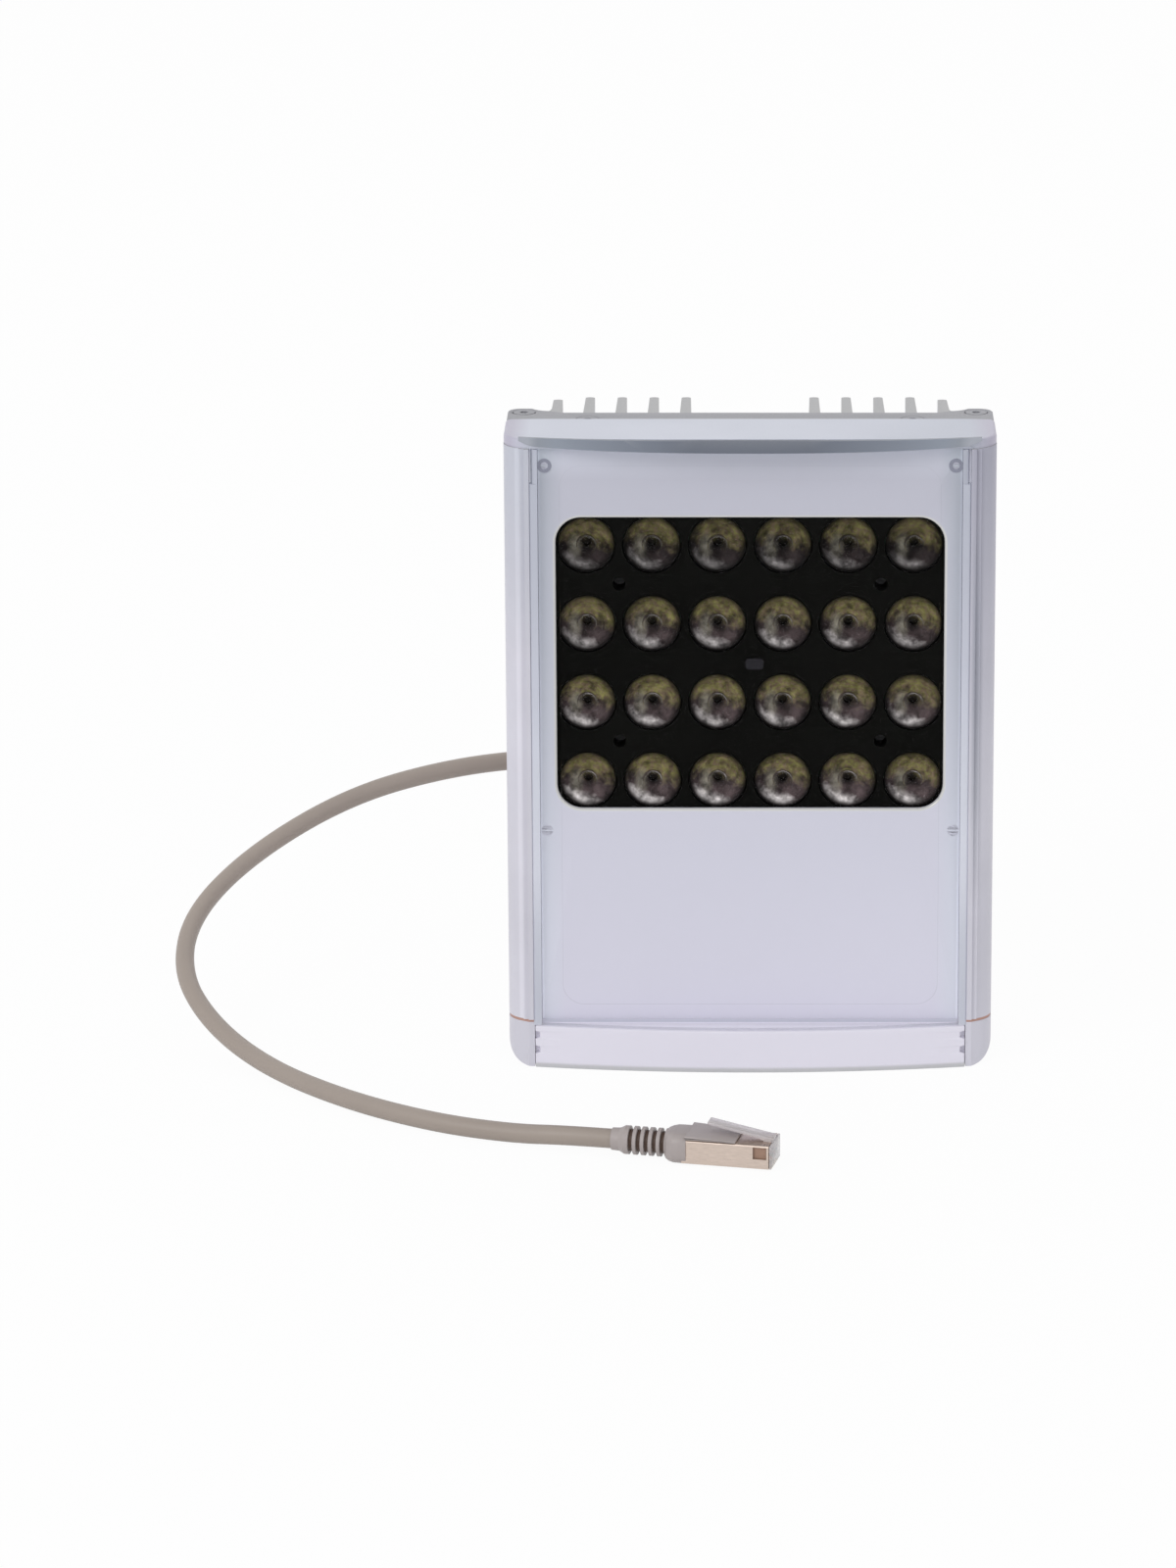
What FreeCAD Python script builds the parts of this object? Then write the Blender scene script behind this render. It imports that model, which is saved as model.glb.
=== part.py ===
import FreeCAD, Part
import math
import os
import Sketcher
from FreeCAD import Placement, Rotation, Vector

# White light illuminator: an upright box with a finned extruded housing, end caps,
# a bulged clear window, 24 collimating lenses, a tilting wall bracket and a network lead.
# Millimetres. X to the right seen from the front, Y from the front rim to the fins, Z up.
# The origin is on the underside, on the symmetry plane, level with the front rim.

SIZES = {
    # case
    "case_width": 135.0,
    "case_height": 180.0,
    "case_depth": 39.0,          # front rim to the rear face of the back wall
    "front_corner_depth": 9.0,
    "front_corner_radius": 7.5,
    "rail_step_width": 1.4,
    "rail_step_depth": 0.75,
    "corner_post_width": 9.0,
    "corner_post_depth": 44.0,
    "rear_corner_radius": 3.5,
    "cavity_depth": 17.0,        # front rim to the plate that carries the lamp board
    "rail_face": 7.05,
    "cavity_step": 2.25,
    "screw_inset": 4.6,
    "screw_front_gap": 3.4,
    "rib_screw_gap": 5.0,
    "shoulder_depth": 9.2,
    "middle_plate": 4.0,
    "back_wall": 4.5,
    "rib_width": 7.0,
    "post_chamber": 10.0,
    # cooling fins
    "fin_side": 13.5,
    "fin_first": 18.0,
    "fin_count": 4,
    "fin_tip": 2.6,
    "fin_root": 3.3,
    "fin_reach": 64.0,
    "outer_fin_reach": 61.0,
    "fin_root_radius": 1.6,
    "fin_tip_radius": 1.6,
    "fin_tip_rise": 0.7,
    "outer_fin_blend": 5.0,
    # caps
    "bottom_cap_height": 13.0,
    "bottom_cap_floor": 3.2,
    "bottom_cap_wall": 3.0,
    "bottom_corner_radius": 6.5,
    "seam_seal": 0.8,
    "seal_inset": 0.2,
    "top_cap_ledge": 1.4,
    "top_cap_rise": 1.2,
    "top_cap_front": 26.0,
    "top_cap_edge": 1.0,
    "top_cap_corner": 2.0,
    "cap_front_gap": 1.0,
    "cap_lip": 2.0,
    "top_seal": 0.7,
    "top_seal_width": 3.0,
    "top_seal_inset": 2.2,
    "top_seal_land": 1.0,
    "top_seal_crown": 0.6,
    # access cover
    "cover_inset": 0.45,
    "cover_height": 14.0,
    "cover_thickness": 3.0,
    "cover_gap": 0.15,
    "cover_foot_inset": 10.0,
    "cover_foot_depth": 16.0,
    "cover_foot": 2.0,
    "cover_screw_place": 40.0,
    "cover_screw_depth": 10.0,
    "cover_notch": 1.6,
    "cover_notch_depth": 1.2,
    "cover_notch_low": 6.2,
    "cover_notch_high": 10.5,
    # window, insert and mask
    "window_bulge": 5.0,
    "window_corner": 3.0,
    "window_wall": 2.0,
    "window_thickness": 2.6,
    "window_foot_gap": 0.25,
    "window_gap": 0.15,
    "window_top_gap": 0.15,
    "window_seal": 0.5,
    "seal_squeeze": 0.05,
    "window_seal_bar": 1.8,
    "insert_margin": 5.8,
    "insert_rise": 4.4,
    "insert_drop": 5.0,
    "insert_thickness": 1.0,
    "insert_corner": 6.0,
    "mask_front": 3.6,
    "mask_thickness": 1.2,
    "mask_gap": 0.2,
    "mask_foot_gap": 0.35,
    "mask_head_gap": 0.4,
    "mask_corner": 1.0,
    "aperture_side": 4.7,
    "aperture_height": 83.0,
    "aperture_drop": 64.2,
    "aperture_corner": 7.0,
    "aperture_chamfer": 0.7,
    "mask_post_radius": 1.8,
    "mask_post_inset": 1.8,
    "mask_seat_gap": 0.1,
    "mask_post_drop": 3.3,
    "mask_post_head": 5.0,
    # lamp array
    "lens_edge": 10.9,
    "lens_columns": 6,
    "lens_rows": 4,
    "lens_space": 1.0,
    "lens_foot_radius": 4.2,
    "lens_rim": 1.2,
    "lens_dish": 1.0,
    "lens_land": 1.4,
    "lens_side_radius": 14.0,
    "lens_recess_radius": 3.0,
    "lens_recess": 3.0,
    "lens_gap": 0.15,
    "tray_front": 5.0,
    "tray_side_gap": 2.3,
    "tray_corner": 3.0,
    "tray_height": 89.0,
    "tray_screw_seat": 3.0,
    "board_thickness": 1.6,
    "board_inset": 0.5,
    "pad_thickness": 0.5,
    "lamp_side": 3.5,
    "lamp_height": 1.3,
    "sensor_width": 5.0,
    "sensor_height": 3.0,
    "sensor_place": 1.2,
    "sensor_drop": 0.2,
    "sensor_rise": 0.8,
    # driver electronics
    "driver_width": 76.0,
    "driver_rise": 17.0,
    "driver_head_gap": 9.4,
    "spacer_height": 3.0,
    "spacer_radius": 3.0,
    "driver_screw_inset": 4.5,
    "component_gap": 0.6,
    "transformer_width": 22.0,
    "transformer_height": 20.0,
    "transformer_side": 8.0,
    "transformer_rise": 45.0,
    "coil_inset": 3.0,
    "coil_reach": 2.0,
    "coil_step": 1.0,
    "capacitor_radius": 4.0,
    "capacitor_side": 10.0,
    "capacitor_gap": 1.0,
    "chip_side": 14.0,
    "chip_height": 1.6,
    "chip_place": 26.0,
    "choke_radius": 7.0,
    "choke_bore": 3.0,
    "choke_height": 6.0,
    "choke_side": 19.0,
    "choke_drop": 11.0,
    "capacitor_length": 14.0,
    "terminal_width": 16.0,
    "terminal_height": 11.0,
    "terminal_pitch": 3.6,
    "terminal_well": 1.2,
    "terminal_well_depth": 3.0,
    "terminal_poles": 4,
    # fasteners
    "screw_radius": 1.75,
    "screw_head_radius": 3.0,
    "screw_head": 0.9,
    "screw_seat": 0.95,
    "block_screw_head": 2.2,
    "screw_length": 10.0,
    "screw_hole_gap": 0.2,
    "small_screw_radius": 1.0,
    "small_screw_head_radius": 1.6,
    "small_screw_head": 0.8,
    "screw_slot": 0.5,
    "screw_slot_depth": 0.45,
    "small_screw_length": 6.0,
    # cable gland
    "gland_height": 61.0,
    "gland_thread_radius": 7.8,
    "gland_across": 20.0,
    "gland_flange": 4.5,
    "gland_nut_length": 10.0,
    "gland_dome_length": 8.3,
    "gland_seal_radius": 5.6,
    "gland_mouth_radius": 4.6,
    "gland_bore_radius": 3.6,
    "gland_locknut": 3.2,
    "gland_gap": 0.2,
    # lead and plug
    "lead_radius": 2.65,
    "lead_gap": 0.25,
    "inner_lead_bend": 6.0,
    "lead_end_run": 13.0,
    "plug_yaw": -12.5,
    "plug_place_x": -37.0,
    "plug_place_y": -73.4,
    "plug_floor": 0.2,
    "boot_collar_radius": 3.9,
    "boot_neck": 12.8,
    "boot_flare": 4.5,
    "boot_wrap": 4.2,
    "boot_slots": 5,
    "boot_slot": 0.9,
    "boot_slot_pitch": 2.1,
    "boot_slot_first": 2.4,
    "boot_slot_height": 5.8,
    "boot_slot_depth": 1.3,
    "boot_width": 12.6,
    "boot_height": 8.6,
    "boot_corner": 2.2,
    "boot_length": 35.0,
    "boot_hood_tip": 0.5,
    "plug_width": 11.7,
    "plug_height": 6.6,
    "plug_length": 24.4,
    "plug_lift": 0.7,
    "plug_overlap": 1.2,
    "plug_gap": 0.15,
    "plug_shell": 0.35,
    "shell_length": 21.8,
    "shell_window": 5.0,
    "latch_width": 6.2,
    "latch_thickness": 1.1,
    "latch_length": 17.0,
    "latch_root": 2.4,
    "latch_angle": 11.0,
    "contact_pitch": 1.02,
    "contact_count": 8,
    "contact_width": 0.35,
    "contact_rise": 0.25,
    # wall bracket
    "pivot_height": 130.0,
    "pivot_offset": 15.0,        # back wall to the tilt axis
    "pivot_block_width": 14.0,
    "pivot_block_height": 36.0,
    "pivot_block_foot": 6.0,
    "pivot_block_radius": 8.0,
    "pivot_bolt_radius": 3.0,
    "pivot_bolt_gap": 0.1,
    "pivot_screw_place": 13.5,
    "bracket_gap": 0.3,
    "bracket_sheet": 3.0,
    "bracket_arm": 45.0,
    "bracket_height": 44.0,
    "bracket_end_radius": 10.0,
    "bracket_straight": 9.0,
    "bracket_bend": 2.8,
    "bracket_hole_radius": 4.25,
    "bracket_small_hole_radius": 2.75,
    "bracket_hole_spacing": 30.0,
    "washer_radius": 5.6,
    "washer_thickness": 1.0,
    "bolt_head_radius": 5.0,
    "bolt_head": 3.6,
    "nut_radius": 5.2,
    "nut_height": 3.8,
}

# Control points of the network lead, from the gland's mouth to the floor before the boot.
LEAD_POINTS = [
    (0.0, 62.0, 61.0),
    (0.0, 83.0, 61.0),
    (-12.0, 100.0, 61.0),
    (-34.0, 107.0, 61.0),
    (-60.0, 104.0, 60.5),
    (-88.0, 99.5, 58.5),
    (-117.0, 92.0, 52.0),
    (-144.0, 76.0, 39.5),
    (-160.0, 54.0, 28.0),
    (-161.5, 30.0, 18.0),
    (-151.5, 11.5, 8.6),
    (-134.5, -9.0, 2.8),
    (-111.0, -36.5, 2.8),
    (-86.0, -55.5, 2.8),
    (-64.0, -64.5, 2.8),
]


class Size:
    """A length with its formula in the sheet, so that one value sizes and binds a feature."""

    def __init__(self, value, text):
        self.value = float(value)
        self.text = text

    def __add__(self, other):
        other = size(other)
        return Size(self.value + other.value, f"({self.text} + {other.text})")

    def __radd__(self, other):
        return size(other) + self

    def __sub__(self, other):
        other = size(other)
        return Size(self.value - other.value, f"({self.text} - {other.text})")

    def __rsub__(self, other):
        return size(other) - self

    def __mul__(self, other):
        other = size(other)
        return Size(self.value * other.value, f"({self.text} * {other.text})")

    def __rmul__(self, other):
        return size(other) * self

    def __truediv__(self, other):
        other = size(other)
        return Size(self.value / other.value, f"({self.text} / {other.text})")

    def __neg__(self):
        return Size(-self.value, f"(0 - {self.text})")


def size(number):
    return number if isinstance(number, Size) else Size(number, repr(float(number)))


def root_of(length):
    return Size(math.sqrt(length.value), f"sqrt({length.text})")


doc = FreeCAD.newDocument("Illuminator")
sheet = doc.addObject("Spreadsheet::Sheet", "Sizes")
for row, (alias, number) in enumerate(SIZES.items(), start=1):
    sheet.set(f"A{row}", alias)
    sheet.set(f"B{row}", str(number))
    sheet.setAlias(f"B{row}", alias)
doc.recompute()


class Lookup:
    def __getattr__(self, alias):
        return Size(SIZES[alias], f"Sizes.{alias}")


v = Lookup()


def bind(target, path, length):
    target.setExpression(path, size(length).text)


def place(target, x=0, y=0, z=0):
    for axis, length in zip("xyz", (x, y, z)):
        bind(target, f"Placement.Base.{axis}", length)


ALONG = {
    "+X": Rotation(Vector(0, 1, 0), 90),
    "-X": Rotation(Vector(0, 1, 0), -90),
    "+Y": Rotation(Vector(1, 0, 0), -90),
    "-Y": Rotation(Vector(1, 0, 0), 90),
    "+Z": Rotation(),
    "-Z": Rotation(Vector(1, 0, 0), 180),
}


def box(name, x, y, z, width, depth, height):
    solid = doc.addObject("Part::Box", name)
    bind(solid, "Length", width)
    bind(solid, "Width", depth)
    bind(solid, "Height", height)
    place(solid, x, y, z)
    return solid


def rod(name, x, y, z, radius, length, along="+Z"):
    solid = doc.addObject("Part::Cylinder", name)
    solid.Placement = Placement(Vector(), ALONG[along])
    bind(solid, "Radius", radius)
    bind(solid, "Height", length)
    place(solid, x, y, z)
    return solid


def cone(name, x, y, z, radius, end_radius, length, along="+Z"):
    solid = doc.addObject("Part::Cone", name)
    solid.Placement = Placement(Vector(), ALONG[along])
    bind(solid, "Radius1", radius)
    bind(solid, "Radius2", end_radius)
    bind(solid, "Height", length)
    place(solid, x, y, z)
    return solid


def hexagon(name, x, y, z, across, length, along="+Z"):
    solid = doc.addObject("Part::Prism", name)
    solid.Placement = Placement(Vector(), ALONG[along])
    solid.Polygon = 6
    bind(solid, "Circumradius", across / math.sqrt(3))
    bind(solid, "Height", length)
    place(solid, x, y, z)
    return solid


def fuse(name, *shapes):
    joined = doc.addObject("Part::MultiFuse", name)
    joined.Shapes = list(shapes)
    joined.Refine = True
    return joined


def cut(name, base, *tools):
    tool = tools[0] if len(tools) == 1 else fuse(f"{name}_tools", *tools)
    doc.recompute()
    result = doc.addObject("Part::Cut", name)
    result.Base = base
    result.Tool = tool
    result.Refine = True
    doc.recompute()
    if result.Shape.Volume >= base.Shape.Volume:
        raise RuntimeError(f"{name}: the cut removed nothing")
    return result


def body(name):
    return doc.addObject("PartDesign::Body", name)


def sketch_on(owner, name, role, offset=0):
    """A sketch on one of the body's own planes; offset runs along the plane's normal."""
    drawn = owner.newObject("Sketcher::SketchObject", name)
    plane = [item for item in owner.Origin.OriginFeatures if item.Role == role][0]
    drawn.AttachmentSupport = [(plane, "")]
    drawn.MapMode = "FlatFace"
    bind(drawn, "AttachmentOffset.Base.z", offset)
    return drawn


def fix_point(drawn, geometry, end, x, y):
    for kind, axis, length in (("DistanceX", -2, x), ("DistanceY", -1, y)):
        length = size(length)
        if abs(length.value) < 1e-9:
            drawn.addConstraint(Sketcher.Constraint("PointOnObject", geometry, end, axis))
            continue
        index = drawn.addConstraint(Sketcher.Constraint(kind, geometry, end, length.value))
        drawn.setExpression(f"Constraints[{index}]", length.text)


def arc_middle(start, end, radius):
    """The arc's middle point; a positive radius turns left from start to end."""
    chord = end - start
    normal = Vector(-chord.y, chord.x, 0).normalize()
    rise = math.sqrt(max(radius * radius - chord.Length ** 2 / 4, 0.0))
    side = 1 if radius > 0 else -1
    return (start + end) / 2 + normal * side * (rise - abs(radius))


def outline(drawn, points):
    """A closed outline. Each point is (x, y) or (x, y, radius of the arc to the next point)."""
    spots = [Vector(size(point[0]).value, size(point[1]).value, 0) for point in points]
    ends = []
    for index, point in enumerate(points):
        start = spots[index]
        end = spots[(index + 1) % len(points)]
        if len(point) == 3:
            radius = size(point[2])
            middle = arc_middle(start, end, radius.value)
            geometry = drawn.addGeometry(Part.Arc(start, middle, end))
            forward = (drawn.getPoint(geometry, 1) - start).Length < 1e-5
            ends.append((geometry, 1, 2) if forward else (geometry, 2, 1))
        else:
            ends.append((drawn.addGeometry(Part.LineSegment(start, end)), 1, 2))
    for index, point in enumerate(points):
        geometry, first, last = ends[index]
        following = ends[(index + 1) % len(points)]
        drawn.addConstraint(
            Sketcher.Constraint("Coincident", geometry, last, following[0], following[1]))
        fix_point(drawn, geometry, first, point[0], point[1])
    for index, point in enumerate(points):
        if len(point) == 3:
            radius = size(point[2])
            length = radius if radius.value > 0 else -radius
            row = drawn.addConstraint(Sketcher.Constraint("Radius", ends[index][0], length.value))
            drawn.setExpression(f"Constraints[{row}]", length.text)
    return drawn


def rectangle(drawn, left, low, right, high, radius=None):
    if radius is None:
        return outline(drawn, [(left, low), (right, low), (right, high), (left, high)])
    return outline(drawn, [
        (left + radius, low), (right - radius, low, radius),
        (right, low + radius), (right, high - radius, radius),
        (right - radius, high), (left + radius, high, radius),
        (left, high - radius), (left, low + radius, radius)])


def circle(drawn, x, y, radius):
    middle = Vector(size(x).value, size(y).value, 0)
    geometry = drawn.addGeometry(Part.Circle(middle, Vector(0, 0, 1), size(radius).value))
    fix_point(drawn, geometry, 3, x, y)
    row = drawn.addConstraint(Sketcher.Constraint("Radius", geometry, size(radius).value))
    drawn.setExpression(f"Constraints[{row}]", size(radius).text)
    return drawn


def mirrored(points):
    """The right half of an outline, drawn upwards in Y, and its mirror image on the way back."""
    half = [tuple(point) for point in points]
    back = []
    for index in range(len(half) - 1, -1, -1):
        x, y = half[index][0], half[index][1]
        if index > 0 and len(half[index - 1]) == 3:
            back.append((-size(x), y, half[index - 1][2]))
        else:
            back.append((-size(x), y))
    return half + back


def pad(owner, drawn, length, reverse=False):
    feature = owner.newObject("PartDesign::Pad", f"{drawn.Name}_pad")
    feature.Profile = drawn
    feature.Reversed = reverse
    bind(feature, "Length", length)
    doc.recompute()
    return feature


def pocket(owner, drawn, length=None, reverse=False):
    """A pocket of the given length, or right through, that has to remove something."""
    before = owner.Shape.Volume
    feature = owner.newObject("PartDesign::Pocket", f"{drawn.Name}_pocket")
    feature.Profile = drawn
    feature.Reversed = reverse
    if length is None:
        feature.Type = "ThroughAll"
    else:
        bind(feature, "Length", length)
    doc.recompute()
    if owner.Shape.Volume >= before:
        raise RuntimeError(f"{feature.Name}: the pocket removed nothing")
    return feature


def edges_where(shape, test):
    return [f"Edge{index}" for index, edge in enumerate(shape.Edges, start=1) if test(edge)]


def fillet(owner, base, radius, test, name):
    feature = owner.newObject("PartDesign::Fillet", name)
    feature.Base = (base, edges_where(base.Shape, test))
    bind(feature, "Radius", radius)
    doc.recompute()
    return feature


def runs_along(edge, axis):
    first, last = edge.Vertexes[0].Point, edge.Vertexes[-1].Point
    step = last - first
    return step.Length > 1e-6 and abs(abs(step.dot(axis)) - step.Length) < 1e-6


PARTS = []


def keep(made, label):
    made.Label = label
    PARTS.append(made)
    return made


def group(label, master, spots, turns=None):
    """Separate copies of one solid, such as a set of screws, in one piece."""
    doc.recompute()
    copies = []
    for index, spot in enumerate(spots):
        copy = master.Shape.copy()
        if turns is not None:
            copy.Placement = Placement(Vector(), turns[index]).multiply(copy.Placement)
        copy.translate(Vector(*[size(number).value for number in spot]))
        copies.append(copy)
    made = doc.addObject("Part::Feature", label)
    made.Shape = Part.makeCompound(copies)
    return keep(made, label)


# Values that several pieces share.
half_width = v.case_width / 2
rail_inside = half_width - v.rail_face
window_half = rail_inside - v.window_gap
cavity_half = rail_inside - v.cavity_step
cover_half = rail_inside - v.cover_inset
cover_foot_half = cover_half - v.cover_foot_inset
rail_one = rail_inside + v.rail_step_width
rail_two = rail_one + v.rail_step_width
housing_bottom = v.bottom_cap_height + v.seam_seal
cap_under = v.case_height - v.top_cap_ledge - v.top_cap_rise
housing_height = cap_under - housing_bottom
middle_rear = v.cavity_depth + v.middle_plate
wall_inside = v.case_depth - v.back_wall
post_inside = half_width - v.corner_post_width
outer_fin = half_width - v.fin_side
fin_pitch = (outer_fin - v.fin_first) / v.fin_count
rib_place = post_inside - v.post_chamber - v.rib_width / 2
bulge_half = window_half - v.window_corner
window_bottom = v.cover_height + v.window_foot_gap
mask_half = window_half - v.window_wall - v.mask_gap
mask_bottom = window_bottom + v.mask_foot_gap
mask_top = cap_under - v.mask_head_gap
aperture_half = mask_half - v.aperture_side
aperture_middle = v.case_height - v.aperture_drop
insert_half = mask_half - v.insert_margin
tray_half = cavity_half - v.tray_side_gap
lens_pitch_across = (tray_half - v.lens_edge) * 2 / (v.lens_columns - 1)
lens_pitch_up = (v.tray_height - v.lens_edge * 2) / (v.lens_rows - 1)
lens_radius = lens_pitch_across / 2 - v.lens_space
tray_bottom = aperture_middle - v.tray_height / 2
driver_bottom = v.gland_height + v.driver_rise
driver_height = cap_under - v.driver_head_gap - driver_bottom
choke_rise = driver_height - v.choke_drop
stack_gap = (choke_rise - v.choke_radius - v.chip_side - v.capacitor_length - v.terminal_height) / 3
capacitor_rise = v.terminal_height + stack_gap
chip_rise = choke_rise - v.choke_radius - stack_gap - v.chip_side
bulge_radius = (bulge_half * bulge_half + v.window_bulge * v.window_bulge) / (2 * v.window_bulge)
screw_across = half_width - v.screw_inset
screw_front = v.shoulder_depth + v.screw_front_gap
screw_rear = v.corner_post_depth - v.screw_inset
rib_screw_depth = v.top_cap_front + v.rib_screw_gap
screw_hole = v.screw_radius + v.screw_hole_gap
pivot_depth = v.case_depth + v.pivot_offset
board_front = v.cavity_depth - v.pad_thickness - v.board_thickness


def lens_columns():
    step = lens_pitch_across
    return [step * (column - (SIZES["lens_columns"] - 1) / 2) for column in range(SIZES["lens_columns"])]


def lens_rows():
    step = lens_pitch_up
    return [aperture_middle + step * (row - (SIZES["lens_rows"] - 1) / 2)
            for row in range(SIZES["lens_rows"])]


def rear_outline():
    """The right half of the case's outline from the front corner to the outer fin."""
    radius = v.rear_corner_radius
    return [
        (half_width, v.front_corner_depth),
        (half_width, v.corner_post_depth - radius, radius),
        (half_width - radius, v.corner_post_depth),
    ]


def heat_sink():
    housing = body("heat_sink")
    profile = sketch_on(housing, "housing_profile", "XY_Plane", housing_bottom)
    fin_side = outer_fin + v.fin_root / 2
    blend = v.outer_fin_blend
    outline(profile, mirrored([
        (cavity_half, v.cavity_depth),
        (cavity_half, v.shoulder_depth),
        (rail_inside, v.shoulder_depth),
        (rail_inside, 0),
        (rail_one, 0),
        (rail_one, v.rail_step_depth),
        (rail_two, v.rail_step_depth),
        (rail_two, 2 * v.rail_step_depth, v.front_corner_radius),
        *rear_outline(),
        (fin_side + blend, v.corner_post_depth, -blend),
        (fin_side, v.corner_post_depth + blend),
        (outer_fin, v.corner_post_depth + blend),
        (outer_fin, v.case_depth),
    ]))
    pad(housing, profile, housing_height)

    chambers = sketch_on(housing, "chambers", "XY_Plane", housing_bottom)
    rib_in = rib_place - v.rib_width / 2
    rib_out = rib_place + v.rib_width / 2
    rectangle(chambers, -rib_in, middle_rear, rib_in, wall_inside, size(1.0))
    rectangle(chambers, rib_out, middle_rear, post_inside, wall_inside, size(1.0))
    rectangle(chambers, -post_inside, middle_rear, -rib_out, wall_inside, size(1.0))
    pocket(housing, chambers, reverse=True)

    for side, name in ((1, "right"), (-1, "left")):
        fin = sketch_on(housing, f"fin_{name}", "XY_Plane", housing_bottom)
        middle = side * v.fin_first
        root = v.fin_root / 2
        tip = v.fin_tip / 2
        flare = v.fin_root_radius
        outline(fin, [
            (middle - root - flare, v.case_depth - 0.5),
            (middle + root + flare, v.case_depth - 0.5),
            (middle + root + flare, v.case_depth, -flare),
            (middle + root, v.case_depth + flare),
            (middle + tip, v.fin_reach - v.fin_tip_rise, v.fin_tip_radius),
            (middle - tip, v.fin_reach - v.fin_tip_rise),
            (middle - root, v.case_depth + flare, -flare),
            (middle - root - flare, v.case_depth),
        ])
        blade = pad(housing, fin, housing_height)
        row = housing.newObject("PartDesign::LinearPattern", f"fins_{name}")
        row.Originals = [blade]
        row.Direction = (fin, ["H_Axis"])
        row.Reversed = side < 0
        bind(row, "Length", fin_pitch * (v.fin_count - 1))
        bind(row, "Occurrences", v.fin_count)
        housing.Tip = row
        doc.recompute()

        outer = sketch_on(housing, f"outer_fin_{name}", "XY_Plane", housing_bottom)
        centre = side * outer_fin
        outline(outer, [
            (centre - root, v.case_depth - 0.5),
            (centre + root, v.case_depth - 0.5),
            (centre + root, v.corner_post_depth + v.outer_fin_blend),
            (centre + tip, v.outer_fin_reach - v.fin_tip_rise, v.fin_tip_radius),
            (centre - tip, v.outer_fin_reach - v.fin_tip_rise),
            (centre - root, v.case_depth + flare),
        ])
        pad(housing, outer, housing_height)

    ports = sketch_on(housing, "screw_ports", "XY_Plane", housing_bottom)
    port = v.screw_radius
    for side in (-1, 1):
        circle(ports, side * screw_across, screw_front, port)
        circle(ports, side * screw_across, screw_rear, port)
        circle(ports, side * rib_place, rib_screw_depth, port)
    pocket(housing, ports, reverse=True)

    holes = sketch_on(housing, "back_wall_holes", "XZ_Plane", -(v.case_depth + 1.0))
    circle(holes, 0, v.gland_height, v.gland_thread_radius + v.gland_gap)
    for side in (-1, 1):
        circle(holes, 0, v.pivot_height + side * v.pivot_screw_place, v.screw_radius)
    pocket(housing, holes, v.back_wall + 2.0, reverse=True)
    return keep(housing, "heat_sink")


def cap_outline(front):
    return mirrored([
        (rail_one, front),
        (rail_two, front + v.rail_step_depth, v.front_corner_radius + 1.0),
        *rear_outline(),
        (outer_fin + v.fin_root / 2 + v.outer_fin_blend, v.corner_post_depth),
        (outer_fin - v.fin_root / 2, v.case_depth),
    ])


def top_cap():
    cap = body("top_cap")
    ledge = sketch_on(cap, "top_ledge", "XY_Plane", cap_under)
    outline(ledge, cap_outline(v.cap_front_gap))
    pad(cap, ledge, v.top_cap_ledge)

    plateau = sketch_on(cap, "top_plateau", "XY_Plane", cap_under + v.top_cap_ledge)
    outline(plateau, mirrored([
        (rail_one, v.cap_front_gap),
        (rail_two, v.cap_front_gap + v.rail_step_depth, v.front_corner_radius + 1.0),
        (half_width, v.front_corner_depth),
        (half_width, v.top_cap_front - v.top_cap_corner, v.top_cap_corner),
        (half_width - v.top_cap_corner, v.top_cap_front),
    ]))
    raised = pad(cap, plateau, v.top_cap_rise)
    top = SIZES["case_height"]
    fillet(cap, raised, v.top_cap_edge,
           lambda edge: all(abs(point.Point.z - top) < 1e-4 for point in edge.Vertexes),
           "top_edge")

    lip = sketch_on(cap, "cap_lip", "XY_Plane", cap_under - v.cap_lip)
    inner = cavity_half - v.window_gap
    rectangle(lip, -inner, v.shoulder_depth + v.window_seal, inner, v.cavity_depth - v.lens_gap)
    pad(cap, lip, v.cap_lip)
    hollow = sketch_on(cap, "cap_lip_hollow", "XY_Plane", cap_under - v.cap_lip)
    rectangle(hollow, -inner + 1.6, v.shoulder_depth + v.window_seal + 1.6,
              inner - 1.6, v.cavity_depth - v.lens_gap - 1.6)
    pocket(cap, hollow, v.cap_lip, reverse=True)

    groove = sketch_on(cap, "top_seal_groove", "XY_Plane", cap_under)
    seal_ring(groove, v.window_gap)
    pocket(cap, groove, v.top_seal, reverse=True)

    seats = sketch_on(cap, "cap_screw_seats", "XY_Plane", cap_under + v.top_cap_ledge - v.screw_seat)
    holes = sketch_on(cap, "cap_screw_holes", "XY_Plane", cap_under)
    for x, y in top_screw_spots():
        circle(seats, x, y, v.screw_head_radius + v.screw_hole_gap)
        circle(holes, x, y, screw_hole)
    pocket(cap, seats, v.screw_seat + 1.0, reverse=True)
    pocket(cap, holes, reverse=True)
    return keep(cap, "top_cap")


def top_screw_spots():
    spots = []
    for side in (-1, 1):
        spots.append((side * screw_across, screw_rear))
        spots.append((side * rib_place, rib_screw_depth))
    return spots


def seal_ring(drawn, gap):
    """The seal's outline round the front cavity's sides and its inner edge, grown by a gap."""
    outer = half_width - v.top_seal_inset
    inner = outer - v.top_seal_width
    front = screw_front + screw_hole + v.top_seal_land
    rear = screw_rear - v.screw_head_radius - v.screw_hole_gap - v.window_gap
    rectangle(drawn, -outer - gap, front - gap, outer + gap, rear + gap)
    rectangle(drawn, -inner + gap, front + v.top_seal_width / 2 + gap,
              inner - gap, rear - v.top_seal_width / 2 - gap)


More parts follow.
